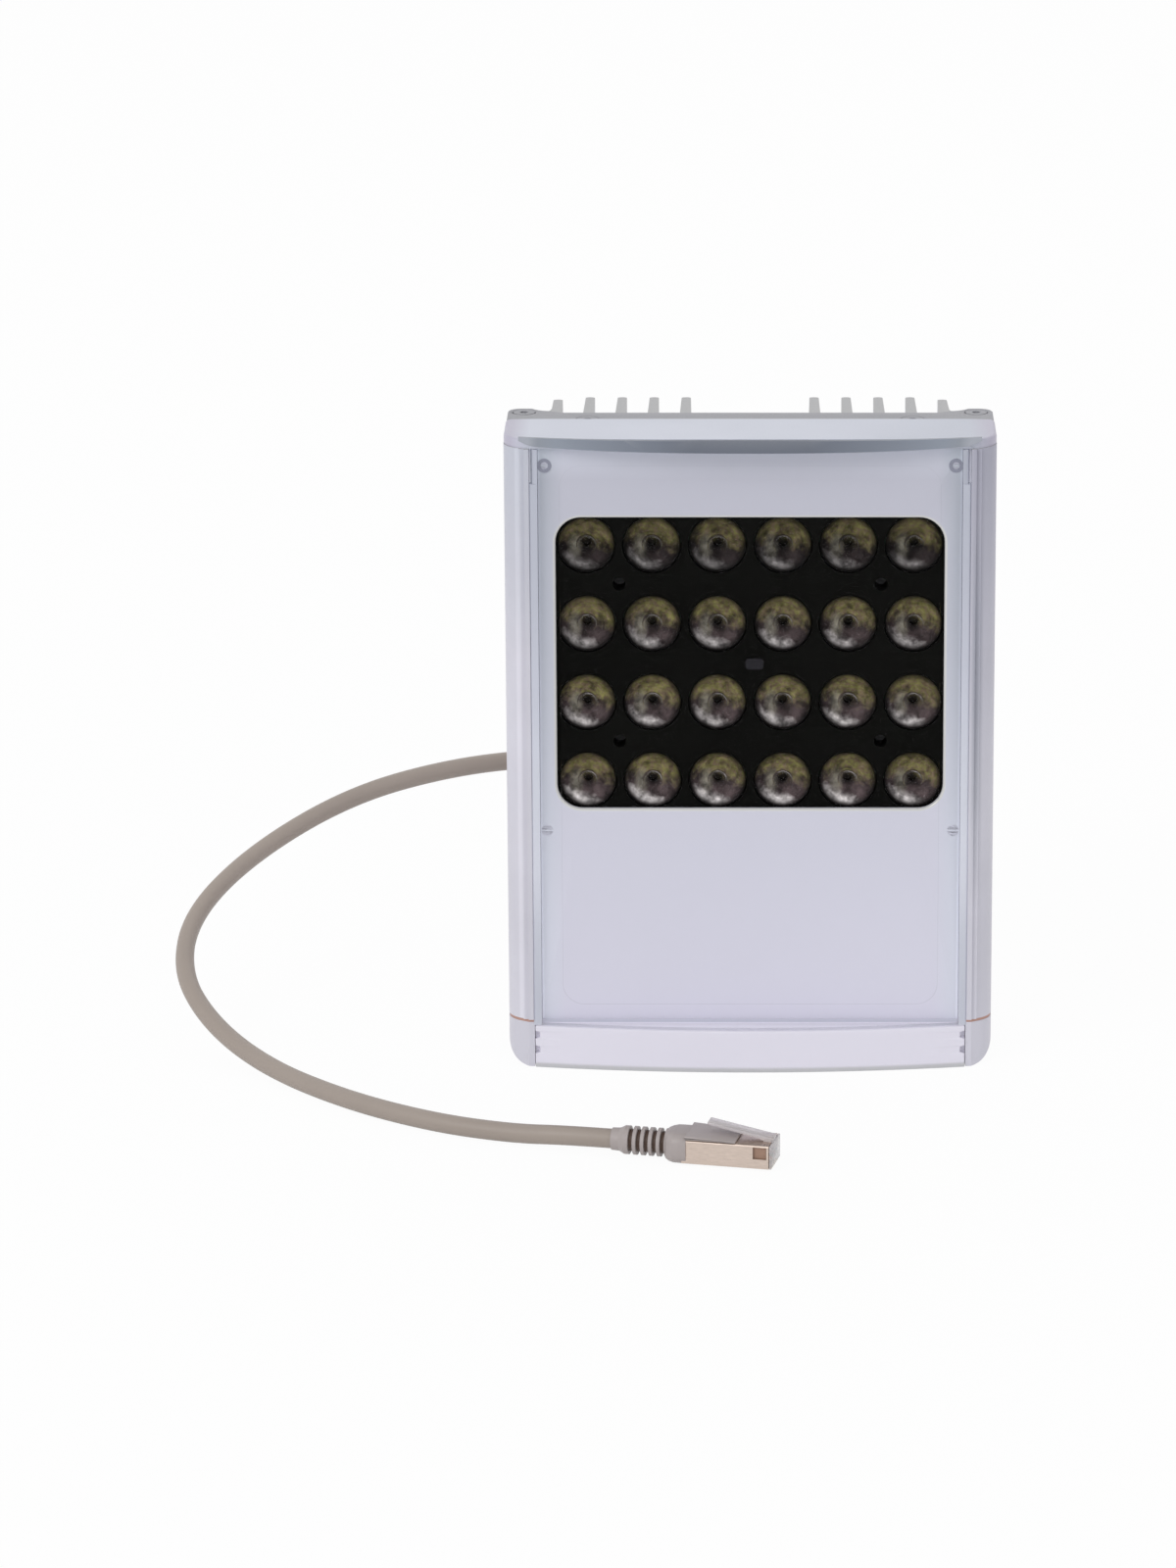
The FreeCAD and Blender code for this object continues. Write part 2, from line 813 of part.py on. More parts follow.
def top_cap_seal():
    seal = body("top_cap_seal")
    ring = sketch_on(seal, "top_seal_ring", "XY_Plane", cap_under)
    seal_ring(ring, size(0.0))
    pad(seal, ring, v.top_seal - v.seal_squeeze)
    return keep(seal, "top_cap_seal")


def bottom_cap():
    cap = body("bottom_cap")
    block = sketch_on(cap, "bottom_block", "XY_Plane")
    recess = cover_half + v.cover_gap
    cover_back = v.cover_thickness + v.cover_gap
    outline(block, mirrored([
        (recess, cover_back),
        (recess, 0.6),
        (rail_one, 0.6),
        (rail_two, 2 * v.rail_step_depth, v.front_corner_radius),
        *rear_outline(),
        (outer_fin + v.fin_root / 2 + v.outer_fin_blend, v.corner_post_depth),
        (outer_fin - v.fin_root / 2, v.case_depth),
    ]))
    pad(cap, block, v.bottom_cap_height)
    corners = sketch_on(cap, "bottom_corners", "XZ_Plane", -(v.corner_post_depth + 1.0))
    radius = v.bottom_corner_radius
    for side in (-1, 1):
        outline(corners, [
            (side * (half_width - radius), -1.0),
            (side * (half_width + 1.0), -1.0),
            (side * (half_width + 1.0), radius),
            (side * half_width, radius, -side * radius),
            (side * (half_width - radius), 0),
        ])
    pocket(cap, corners, v.corner_post_depth + v.window_bulge + 2.0, reverse=True)

    hollow = sketch_on(cap, "bottom_hollow", "XY_Plane", v.bottom_cap_floor)
    wall = screw_across - v.screw_head_radius - 1.2
    rectangle(hollow, -wall, v.cover_foot_depth + v.bottom_cap_wall, wall,
              v.case_depth - v.bottom_cap_wall, size(2.0))
    pocket(cap, hollow, reverse=True)

    foot = sketch_on(cap, "cover_foot_recess", "XY_Plane")
    foot_half = cover_foot_half + v.cover_gap
    rectangle(foot, -foot_half, 0, foot_half, v.cover_foot_depth + v.cover_gap)
    pocket(cap, foot, v.cover_foot + v.cover_gap, reverse=True)
    taps = sketch_on(cap, "cover_screw_taps", "XY_Plane")
    for side in (-1, 1):
        circle(taps, side * v.cover_screw_place, v.cover_screw_depth, v.small_screw_radius)
    pocket(cap, taps, v.cover_foot + v.small_screw_length + 1.0, reverse=True)

    heads = sketch_on(cap, "bottom_screw_heads", "XY_Plane")
    shanks = sketch_on(cap, "bottom_screw_holes", "XY_Plane")
    for x, y in bottom_screw_spots():
        circle(heads, x, y, v.screw_head_radius + v.screw_hole_gap)
        circle(shanks, x, y, screw_hole)
    pocket(cap, heads, v.bottom_cap_height - v.screw_length / 2, reverse=True)
    pocket(cap, shanks, reverse=True)
    return keep(cap, "bottom_cap")


def bottom_screw_spots():
    spots = []
    for side in (-1, 1):
        spots.append((side * screw_across, screw_front))
        spots.append((side * screw_across, screw_rear))
    return spots


def bulged_front(half, corner):
    """The right half of the front strip's curve, from the side face to the crown's arc."""
    return [(half, corner, -corner), (bulge_half, 0, -bulge_radius)]


def access_cover():
    cover = body("access_cover")
    half = cover_half
    strip = sketch_on(cover, "cover_strip", "XY_Plane")
    outline(strip, mirrored([(half, v.cover_thickness), *bulged_front(half, half - bulge_half)]))
    pad(cover, strip, v.cover_height)
    foot = sketch_on(cover, "cover_foot", "XY_Plane")
    foot_half = cover_foot_half
    rectangle(foot, -foot_half, v.cover_thickness - 1.0, foot_half, v.cover_foot_depth)
    pad(cover, foot, v.cover_foot)
    heads = sketch_on(cover, "cover_screw_heads", "XY_Plane")
    shanks = sketch_on(cover, "cover_screw_holes", "XY_Plane")
    for side in (-1, 1):
        x = side * v.cover_screw_place
        circle(heads, x, v.cover_screw_depth, v.small_screw_head_radius + v.screw_hole_gap)
        circle(shanks, x, v.cover_screw_depth, v.small_screw_radius + v.screw_hole_gap)
    pocket(cover, heads, v.small_screw_head + 0.1, reverse=True)
    pocket(cover, shanks, reverse=True)
    notches = sketch_on(cover, "cover_notches", "XZ_Plane", v.window_bulge + 1.0)
    for side in (-1, 1):
        for low in (v.cover_notch_low, v.cover_notch_high):
            inner = side * (half - v.cover_notch_depth)
            rectangle(notches, inner, low, side * (half + 1.0), low + v.cover_notch)
    pocket(cover, notches)
    return keep(cover, "access_cover")


def front_window():
    window = body("front_window")
    half = window_half
    inside = half - v.window_wall
    inner_radius = bulge_radius - v.window_thickness
    inner_crown = v.window_thickness - v.window_bulge
    inner_side = inner_crown + inner_radius - root_of(inner_radius * inner_radius - inside * inside)
    back = v.shoulder_depth - v.window_seal
    profile = sketch_on(window, "window_profile", "XY_Plane", window_bottom)
    points = mirrored([(inside, inner_side), (inside, back), (half, back),
                       *bulged_front(half, v.window_corner)])
    points[-1] = (*points[-1], inner_radius)
    outline(profile, points)
    pad(window, profile, cap_under - v.window_top_gap - window_bottom)
    return keep(window, "front_window")


def window_top_seal():
    seal = body("window_top_seal")
    low = sketch_on(seal, "seal_low", "XY_Plane", cap_under)
    back = v.cap_front_gap - v.window_gap
    outline(low, mirrored([(bulge_half, back), (bulge_half, 0, -bulge_radius)]))
    rise = v.top_seal_crown
    top_radius = (bulge_half * bulge_half + rise * rise) / (2 * rise)
    high = sketch_on(seal, "seal_high", "XY_Plane", v.case_height - v.window_top_gap)
    outline(high, mirrored([(bulge_half, back), (bulge_half, 0, -top_radius)]))
    loft = seal.newObject("PartDesign::AdditiveLoft", "seal_loft")
    loft.Profile = low
    loft.Sections = [high]
    loft.Ruled = True
    doc.recompute()
    return keep(seal, "window_top_seal")


def window_seal():
    seal = body("window_seal")
    frame = sketch_on(seal, "window_seal_frame", "XZ_Plane", -(v.shoulder_depth - v.window_seal))
    half = window_half
    bar = v.window_seal_bar
    high = cap_under - v.window_top_gap
    rectangle(frame, -half, window_bottom, half, high)
    rectangle(frame, -half + bar, window_bottom + bar, half - bar, high - bar)
    pad(seal, frame, v.window_seal, reverse=True)
    return keep(seal, "window_seal")


def seam_seal():
    seal = body("seam_seal")
    ring = sketch_on(seal, "seam_ring", "XY_Plane", v.bottom_cap_height)
    inset = v.seal_inset
    recess = cover_half + v.cover_gap
    radius = v.rear_corner_radius
    outline(ring, mirrored([
        (recess, v.shoulder_depth),
        (recess, 0.6 + inset),
        (rail_one, 0.6 + inset),
        (rail_two, 2 * v.rail_step_depth + inset, v.front_corner_radius),
        (half_width - inset, v.front_corner_depth),
        (half_width - inset, v.corner_post_depth - radius, radius - inset),
        (half_width - radius, v.corner_post_depth - inset),
        (outer_fin + v.fin_root, v.corner_post_depth - inset),
        (outer_fin - v.fin_root, v.case_depth - inset),
    ]))
    opening = cavity_half - 1.5
    rectangle(ring, -opening, v.shoulder_depth + 3.0, opening, wall_inside + 1.0, size(2.0))
    for x, y in bottom_screw_spots():
        circle(ring, x, y, screw_hole)
    pad(seal, ring, v.seam_seal)
    return keep(seal, "seam_seal")


def mask_plate():
    mask = body("mask_plate")
    half = mask_half
    plate = sketch_on(mask, "mask_outline", "XZ_Plane", -v.mask_front)
    rectangle(plate, -half, mask_bottom, half, mask_top, v.mask_corner)
    opening = aperture_half
    low = aperture_middle - v.aperture_height / 2
    high = aperture_middle + v.aperture_height / 2
    rectangle(plate, -opening, low, opening, high, v.aperture_corner)
    panel = pad(mask, plate, v.mask_thickness, reverse=True)

    limit = aperture_half.value + 0.01
    front = SIZES["mask_front"]
    rim = mask.newObject("PartDesign::Chamfer", "aperture_edge")
    rim.Base = (panel, edges_where(panel.Shape, lambda edge: all(
        abs(point.Point.y - front) < 1e-4 and abs(point.Point.x) < limit
        and low.value - 0.01 < point.Point.z < high.value + 0.01 for point in edge.Vertexes)))
    bind(rim, "Size", v.aperture_chamfer)
    doc.recompute()

    posts = sketch_on(mask, "mask_posts", "XZ_Plane", -(v.mask_front + v.mask_thickness / 2))
    seats = sketch_on(mask, "mask_screw_seats", "XZ_Plane", -v.mask_front)
    holes = sketch_on(mask, "mask_screw_holes", "XZ_Plane", -v.mask_front)
    for x, z in mask_screw_spots():
        circle(posts, x, z, v.mask_post_radius)
        circle(seats, x, z, v.small_screw_head_radius + v.mask_seat_gap)
        circle(holes, x, z, v.small_screw_radius)
    pad(mask, posts, v.cavity_depth - v.mask_front - v.mask_thickness / 2, reverse=True)
    pocket(mask, seats, v.small_screw_head)
    pocket(mask, holes, v.small_screw_head + v.small_screw_length + 1.0)
    return keep(mask, "mask_plate")


def mask_screw_spots():
    across = mask_half - v.mask_post_inset
    return [(side * across, z) for side in (-1, 1)
            for z in (tray_bottom - v.mask_post_drop, mask_top - v.mask_post_head)]


def lens_insert():
    insert = body("lens_insert")
    half = insert_half
    sheet_outline = sketch_on(insert, "insert_outline", "XZ_Plane", -(v.mask_front - v.insert_thickness))
    rectangle(sheet_outline, -half, mask_bottom + v.insert_rise, half, mask_top - v.insert_drop, v.insert_corner)
    pad(insert, sheet_outline, v.insert_thickness, reverse=True)
    return keep(insert, "lens_insert")


def optic_tray():
    tray = body("optic_tray")
    half = tray_half
    low = tray_bottom
    block = sketch_on(tray, "tray_block", "XZ_Plane", -v.tray_front)
    rectangle(block, -half, low, half, low + v.tray_height, v.tray_corner)
    pad(tray, block, board_front - v.tray_front, reverse=True)
    wells = sketch_on(tray, "lens_wells", "XZ_Plane", -v.tray_front)
    for x in lens_columns():
        for z in lens_rows():
            circle(wells, x, z, lens_radius + v.lens_gap)
    pocket(tray, wells)
    heads = sketch_on(tray, "tray_screw_heads", "XZ_Plane", -v.tray_front)
    shanks = sketch_on(tray, "tray_screw_holes", "XZ_Plane", -v.tray_front)
    for x, z in tray_screw_spots():
        circle(heads, x, z, v.small_screw_head_radius + v.screw_hole_gap)
        circle(shanks, x, z, v.small_screw_radius + v.screw_hole_gap)
    pocket(tray, heads, board_front - v.tray_front - v.tray_screw_seat)
    pocket(tray, shanks)
    return keep(tray, "optic_tray")


def tray_screw_spots():
    across = lens_pitch_across * (SIZES["lens_columns"] / 2 - 1)
    return [(side * across, aperture_middle + level * lens_pitch_up)
            for side in (-1, 1) for level in (-1, 1)]


def lenses():
    lens = body("lens")
    front = v.tray_front + v.lens_gap
    back = board_front - v.lens_gap
    dish = lens_radius - v.lens_land
    dish_radius = (dish * dish + v.lens_dish * v.lens_dish) / (2 * v.lens_dish)
    profile = sketch_on(lens, "lens_profile", "XY_Plane")
    outline(profile, [
        (0, front + v.lens_dish, -dish_radius),
        (dish, front),
        (lens_radius, front),
        (lens_radius, front + v.lens_rim, v.lens_side_radius),
        (v.lens_foot_radius, back),
        (v.lens_recess_radius, back),
        (v.lens_recess_radius, back - v.lens_recess),
        (0, back - v.lens_recess),
    ])
    turned = lens.newObject("PartDesign::Revolution", "lens_turned")
    turned.Profile = profile
    turned.ReferenceAxis = (profile, ["V_Axis"])
    turned.Angle = 360
    doc.recompute()
    return group("collimator_lenses", lens, [(x, 0, z) for z in lens_rows() for x in lens_columns()])


def lamp_board():
    half = tray_half - v.board_inset
    low = tray_bottom + v.board_inset
    height = v.tray_height - 2 * v.board_inset
    blank = box("lamp_board_blank", -half, board_front, low, 2 * half, v.board_thickness, height)
    holes = [rod(f"board_hole_{index}", x, board_front - 1.0, z,
                 v.small_screw_radius + v.screw_hole_gap, v.board_thickness + 2.0, "+Y")
             for index, (x, z) in enumerate(tray_screw_spots())]
    keep(cut("lamp_board", blank, *holes), "lamp_board")
    pad_front = board_front + v.board_thickness
    sheet_blank = box("thermal_pad_blank", -half, pad_front, low, 2 * half, v.pad_thickness, height)
    pad_holes = [rod(f"pad_hole_{index}", x, pad_front - 1.0, z,
                     v.small_screw_radius + v.screw_hole_gap, v.pad_thickness + 2.0, "+Y")
                 for index, (x, z) in enumerate(tray_screw_spots())]
    keep(cut("thermal_pad", sheet_blank, *pad_holes), "thermal_pad")


def lamps():
    side = v.lamp_side
    base = box("lamp_base", -side / 2, board_front - v.lamp_height / 2, -side / 2,
               side, v.lamp_height / 2, side)
    dome = rod("lamp_dome", 0, board_front - v.lamp_height, 0, side * 0.4, v.lamp_height * 0.6, "+Y")
    lamp = fuse("lamp", base, dome)
    return group("lamps", lamp, [(x, 0, z) for z in lens_rows() for x in lens_columns()])


def light_sensor():
    sensor = body("light_sensor")
    face = sketch_on(sensor, "sensor_face", "XZ_Plane", -v.tray_front)
    half = v.sensor_width / 2
    low = aperture_middle - v.sensor_drop - v.sensor_height / 2
    rectangle(face, v.sensor_place - half, low, v.sensor_place + half, low + v.sensor_height,
              size(1.0))
    pad(sensor, face, v.sensor_rise)
    return keep(sensor, "light_sensor")


def driver_spots():
    inset = v.driver_screw_inset
    across = v.driver_width / 2 - inset
    return [(side * across, z) for side in (-1, 1)
            for z in (driver_bottom + inset, driver_bottom + driver_height - inset)]


def driver_electronics():
    rear = wall_inside - v.spacer_height
    front = rear - v.board_thickness
    room = front - middle_rear - v.component_gap
    low = driver_bottom
    blank = box("driver_blank", -v.driver_width / 2, front, low,
                v.driver_width, v.board_thickness, driver_height)
    holes = [rod(f"driver_hole_{index}", x, front - 1.0, z,
                 v.small_screw_radius + v.screw_hole_gap, v.board_thickness + 2.0, "+Y")
             for index, (x, z) in enumerate(driver_spots())]
    keep(cut("driver_board", blank, *holes), "driver_board")

    spacer = hexagon("spacer_blank", 0, rear, 0, v.spacer_radius * 2, v.spacer_height, "+Y")
    bore = rod("spacer_bore", 0, rear - 1.0, 0, v.small_screw_radius, v.spacer_height + 2.0, "+Y")
    group("board_spacers", cut("spacer", spacer, bore), [(x, 0, z) for x, z in driver_spots()])
    screw = small_screw("board_screw", v.board_thickness + v.spacer_height - 0.4)
    group("driver_board_screws", screw, [(x, front, z) for x, z in driver_spots()])

    core_side = v.transformer_side - v.driver_width / 2
    core_low = low + v.transformer_rise
    core = box("transformer_core", core_side, front - room, core_low,
               v.transformer_width, room, v.transformer_height)
    coil = box("transformer_coil", core_side + v.coil_inset, front - room + v.coil_step,
               core_low - v.coil_reach, v.transformer_width - 2 * v.coil_inset,
               room - v.coil_step, v.transformer_height + 2 * v.coil_reach)
    keep(fuse("transformer", core, coil), "transformer")

    radius = v.capacitor_radius
    can = rod("capacitor_can", 0, front - radius, low + capacitor_rise, radius, v.capacitor_length)
    can_pitch = 2 * radius + v.capacitor_gap
    group("capacitors", can, [(v.driver_width / 2 - v.capacitor_side - step * can_pitch, 0, 0)
                              for step in range(3)])
    chip = box("regulator", v.driver_width / 2 - v.chip_place, front - v.chip_height,
               low + chip_rise, v.chip_side, v.chip_height, v.chip_side)
    keep(chip, "regulator")
    choke_x = v.driver_width / 2 - v.choke_side
    choke_z = low + choke_rise
    choke_front = front - v.choke_height
    choke_outer = rod("choke_outer", choke_x, choke_front, choke_z, v.choke_radius,
                      v.choke_height, "+Y")
    choke_inner = rod("choke_inner", choke_x, choke_front - 1.0, choke_z, v.choke_bore,
                      v.choke_height + 2.0, "+Y")
    keep(cut("choke", choke_outer, choke_inner), "choke")
    terminal = box("terminal_body", -v.terminal_width / 2, front - room, low,
                   v.terminal_width, room, v.terminal_height)
    poles = SIZES["terminal_poles"]
    well_low = low + v.terminal_height - v.terminal_well_depth
    wells = [rod(f"terminal_well_{step}", (step - (poles - 1) / 2) * v.terminal_pitch,
                 front - room / 2, well_low, v.terminal_well, v.terminal_well_depth + 1.0)
             for step in range(poles)]
    keep(cut("terminal_block", terminal, *wells), "terminal_block")


def small_screw(name, length):
    """A small screw whose head stands in front of Y = 0 and whose shank runs to +Y."""
    head = rod(f"{name}_head", 0, -v.small_screw_head, 0, v.small_screw_head_radius,
               v.small_screw_head, "+Y")
    shank = rod(f"{name}_shank", 0, 0, 0, v.small_screw_radius, length, "+Y")
    slot = box(f"{name}_slot", -v.small_screw_head_radius, -v.small_screw_head - 1.0,
               -v.screw_slot / 2, 2 * v.small_screw_head_radius, v.screw_slot_depth + 1.0, v.screw_slot)
    return cut(name, fuse(f"{name}_blank", head, shank), slot)


def case_screw(name):
    """A case screw whose head stands above Z = 0 and whose shank hangs below it."""
    head = rod(f"{name}_head", 0, 0, 0, v.screw_head_radius, v.screw_head)
    shank = rod(f"{name}_shank", 0, 0, -v.screw_length, v.screw_radius, v.screw_length)
    socket = hexagon(f"{name}_socket", 0, 0, v.screw_head * 0.4, v.screw_radius * 1.25, v.screw_head)
    return cut(name, fuse(f"{name}_blank", head, shank), socket)


def fasteners():
    top = case_screw("top_screw")
    top_seat = cap_under + v.top_cap_ledge - v.screw_seat
    group("top_cap_screws", top, [(x, y, top_seat) for x, y in top_screw_spots()])

    seat = v.bottom_cap_height - v.screw_length / 2
    upside_down = Rotation(Vector(1, 0, 0), 180)
    bottom_spots = [(x, y, seat) for x, y in bottom_screw_spots()]
    group("bottom_cap_screws", top, bottom_spots, [upside_down] * len(bottom_spots))

    cover = small_screw("cover_screw", v.small_screw_length)
    upward = Rotation(Vector(1, 0, 0), 90)
    cover_spots = [(side * v.cover_screw_place, v.cover_screw_depth, v.small_screw_head + 0.1)
                   for side in (-1, 1)]
    group("cover_screws", cover, cover_spots, [upward] * 2)

    group("mask_screws", small_screw("mask_screw", v.small_screw_length),
          [(x, v.mask_front + v.small_screw_head, z) for x, z in mask_screw_spots()])
    seat = board_front - v.tray_screw_seat
    length = v.tray_screw_seat + v.board_thickness + v.pad_thickness - 0.1
    group("tray_screws", small_screw("tray_screw", length),
          [(x, seat, z) for x, z in tray_screw_spots()])
    block = block_screw("pivot_block_screw")
    group("pivot_block_screws", block,
          [(0, v.case_depth + v.pivot_block_foot, v.pivot_height + side * v.pivot_screw_place)
           for side in (-1, 1)])


def block_screw(name):
    """A case screw turned so that its head stands behind Y = 0 and its shank runs to -Y."""
    head = rod(f"{name}_head", 0, 0, 0, v.screw_head_radius, v.block_screw_head, "+Y")
    shank = rod(f"{name}_shank", 0, 0, 0, v.screw_radius, v.screw_length, "-Y")
    socket = hexagon(f"{name}_socket", 0, v.block_screw_head * 0.4, 0,
                     v.screw_radius * 1.25, v.block_screw_head, "+Y")
    return cut(name, fuse(f"{name}_blank", head, shank), socket)


gland_front = v.case_depth + v.gland_flange
nut_front = gland_front + v.gland_gap
dome_start = nut_front + v.gland_nut_length
gland_mouth = dome_start + v.gland_dome_length
gland_inner = wall_inside - v.gland_locknut - 0.6


def cable_gland():
    z = v.gland_height
    thread = rod("gland_thread", 0, gland_inner, z, v.gland_thread_radius,
                 dome_start - 2.0 - gland_inner, "+Y")
    flange = hexagon("gland_flange_nut", 0, v.case_depth, z, v.gland_across, v.gland_flange, "+Y")
    bore = rod("gland_bore", 0, gland_inner - 1.0, z, v.gland_bore_radius,
               dome_start - gland_inner, "+Y")
    keep(cut("gland_body", fuse("gland_blank", thread, flange), bore), "gland_body")

    nut_hex = hexagon("gland_nut_hex", 0, nut_front, z, v.gland_across, v.gland_nut_length, "+Y")
    dome = cone("gland_dome", 0, dome_start, z, v.gland_across / 2, v.gland_mouth_radius,
                v.gland_dome_length, "+Y")
    inside = rod("gland_nut_inside", 0, nut_front - 1.0, z, v.gland_thread_radius + v.gland_gap,
                 v.gland_nut_length + 0.5, "+Y")
    chamber = rod("gland_seal_chamber", 0, nut_front, z, v.gland_seal_radius + v.gland_gap,
                  v.gland_nut_length + 2.5, "+Y")
    mouth = rod("gland_mouth_bore", 0, nut_front, z, v.lead_radius + v.lead_gap,
                gland_mouth + 1.0 - nut_front, "+Y")
    keep(cut("gland_nut", fuse("gland_nut_blank", nut_hex, dome), inside, chamber, mouth), "gland_nut")

    ring = rod("gland_seal_ring", 0, dome_start - 2.0, z, v.gland_seal_radius, size(4.2), "+Y")
    ring_bore = rod("gland_seal_bore", 0, dome_start - 3.0, z, v.lead_radius + 0.05, size(7.0), "+Y")
    keep(cut("gland_seal", ring, ring_bore), "gland_seal")

    lock = hexagon("locknut_hex", 0, wall_inside - v.gland_locknut, z, v.gland_across,
                   v.gland_locknut, "+Y")
    lock_bore = rod("locknut_bore", 0, wall_inside - v.gland_locknut - 1.0, z,
                    v.gland_thread_radius + 0.05, v.gland_locknut + 2.0, "+Y")
    keep(cut("gland_locknut", lock, lock_bore), "gland_locknut")


def rounded_path(points):
    """Straight runs joined by tangent arcs, each as large as its two shorter runs allow."""
    spots = [Vector(*point) for point in points]
    edges = []
    radii = []
    start = spots[0]
    for before, corner, after in zip(spots, spots[1:], spots[2:]):
        arriving = (corner - before).normalize()
        leaving = (after - corner).normalize()
        half_turn = arriving.getAngle(leaving) / 2
        reach = 0.45 * min((corner - before).Length, (after - corner).Length)
        radius = reach / math.tan(half_turn)
        entry = corner - arriving * reach
        leave = corner + leaving * reach
        inward = (leaving - arriving).normalize()
        middle = corner + inward * (radius / math.cos(half_turn) - radius)
        edges.append(Part.LineSegment(start, entry).toShape())
        edges.append(Part.Arc(entry, middle, leave).toShape())
        radii.append(radius)
        start = leave
    edges.append(Part.LineSegment(start, spots[-1]).toShape())
    return Part.Wire(edges), radii


def swept_tube(label, path, radius):
    start = path.Edges[0].Vertexes[0].Point
    along = path.Edges[0].tangentAt(path.Edges[0].FirstParameter)
    section = Part.Wire([Part.makeCircle(radius, start, along)])
    solid = path.makePipeShell([section], True, False)
    expected = math.pi * radius ** 2 * path.Length
    if abs(solid.Volume - expected) > 0.01 * expected:
        raise RuntimeError(f"{label}: volume {solid.Volume} is not {expected}")
    made = doc.addObject("Part::Feature", label)
    made.Shape = solid
    return keep(made, label)


def leads():
    radius = v.lead_radius.value
    bend = v.inner_lead_bend.value
    height = v.gland_height.value
    rise = (middle_rear + v.component_gap + 3.6).value
    spots = [(0.0, gland_mouth.value, height), (0.0, rise + bend, height),
             (0.0, rise, height + bend), (0.0, rise, driver_bottom.value)]
    first, second, third, last = [Vector(*spot) for spot in spots]
    turn = second + Vector(0, -bend * math.sin(math.pi / 4), bend * (1 - math.cos(math.pi / 4)))
    path = Part.Wire([Part.LineSegment(first, second).toShape(),
                      Part.Arc(second, turn, third).toShape(),
                      Part.LineSegment(third, last).toShape()])
    swept_tube("inner_lead", path, radius)

    path, radii = rounded_path(lead_points())
    print("lead bend radii, mm:", " ".join(f"{length:.0f}" for length in radii))
    print("lead length, mm:", round(path.Length, 1))
    swept_tube("network_lead", path, radius)


def lead_points():
    """The chosen route, with its last two points set by the boot that the lead enters."""
    end = Vector(v.plug_place_x.value, v.plug_place_y.value, boot_middle.value)
    along = Rotation(Vector(0, 0, 1), v.plug_yaw.value).multVec(Vector(1, 0, 0))
    return LEAD_POINTS + [tuple(end - along * v.lead_end_run.value), tuple(end)]


boot_middle = v.plug_floor + v.boot_height / 2
plug_start = v.boot_neck + v.boot_flare + v.boot_wrap - v.plug_overlap


def set_down(made):
    """Turns a piece of the plug about its lead and lays it in its place."""
    made.Placement = Placement(Vector(), Rotation(Vector(0, 0, 1), v.plug_yaw.value))
    place(made, v.plug_place_x, v.plug_place_y, boot_middle)
    return made


def cable_boot():
    boot = body("cable_boot")
    collar = sketch_on(boot, "boot_collar", "YZ_Plane")
    circle(collar, 0, 0, v.boot_collar_radius)
    pad(boot, collar, v.boot_neck + 0.5)
    wide = v.boot_width / 2
    tall = v.boot_height / 2
    narrow = v.boot_collar_radius
    start = sketch_on(boot, "boot_flare_start", "YZ_Plane", v.boot_neck)
    rectangle(start, -narrow, -narrow, narrow, narrow, narrow * 0.6)
    end = sketch_on(boot, "boot_flare_end", "YZ_Plane", v.boot_neck + v.boot_flare)
    rectangle(end, -wide, -tall, wide, tall, v.boot_corner)
    flare = boot.newObject("PartDesign::AdditiveLoft", "boot_flare")
    flare.Profile = start
    flare.Sections = [end]
    doc.recompute()
    sleeve = sketch_on(boot, "boot_sleeve", "YZ_Plane", v.boot_neck + v.boot_flare)
    rectangle(sleeve, -wide, -tall, wide, tall, v.boot_corner)
    hood_length = v.boot_length - v.boot_neck - v.boot_flare
    pad(boot, sleeve, hood_length)
    below = sketch_on(boot, "boot_below_hood", "XZ_Plane", -(wide + 1.0))
    wrap_end = v.boot_neck + v.boot_flare + v.boot_wrap
    plug_top = plug_rise + v.plug_height + v.plug_gap
    outline(below, [
        (wrap_end, -tall - 1.0),
        (v.boot_length + 1.0, -tall - 1.0),
        (v.boot_length + 1.0, plug_top),
        (wrap_end, plug_top),
    ])
    pocket(boot, below, v.boot_width + 2.0, reverse=True)
    slope = sketch_on(boot, "boot_hood_slope", "XZ_Plane", -(wide + 1.0))
    outline(slope, [
        (wrap_end, tall),
        (v.boot_length + 1.0, plug_top + v.boot_hood_tip),
        (v.boot_length + 1.0, tall + 1.0),
        (wrap_end, tall + 1.0),
    ])
    pocket(boot, slope, v.boot_width + 2.0, reverse=True)
    seat = sketch_on(boot, "plug_seat", "YZ_Plane", plug_start - v.plug_gap)
    seat_half = v.plug_width / 2 + v.plug_gap
    rectangle(seat, -seat_half, plug_rise - v.plug_gap, seat_half, plug_top)
    pocket(boot, seat, reverse=True)
    slots = sketch_on(boot, "boot_slots", "XZ_Plane", v.boot_collar_radius + 0.5)
    far_slots = sketch_on(boot, "boot_far_slots", "XZ_Plane", -(v.boot_collar_radius + 0.5))
    for step in range(SIZES["boot_slots"]):
        left = v.boot_slot_first + step * v.boot_slot_pitch
        for drawn in (slots, far_slots):
            rectangle(drawn, left, -v.boot_slot_height / 2, left + v.boot_slot, v.boot_slot_height / 2)
    pocket(boot, slots, v.boot_slot_depth + 0.5)
    pocket(boot, far_slots, v.boot_slot_depth + 0.5, reverse=True)
    return keep(set_down(boot), "cable_boot")


plug_rise = -(v.boot_height / 2) + v.plug_lift


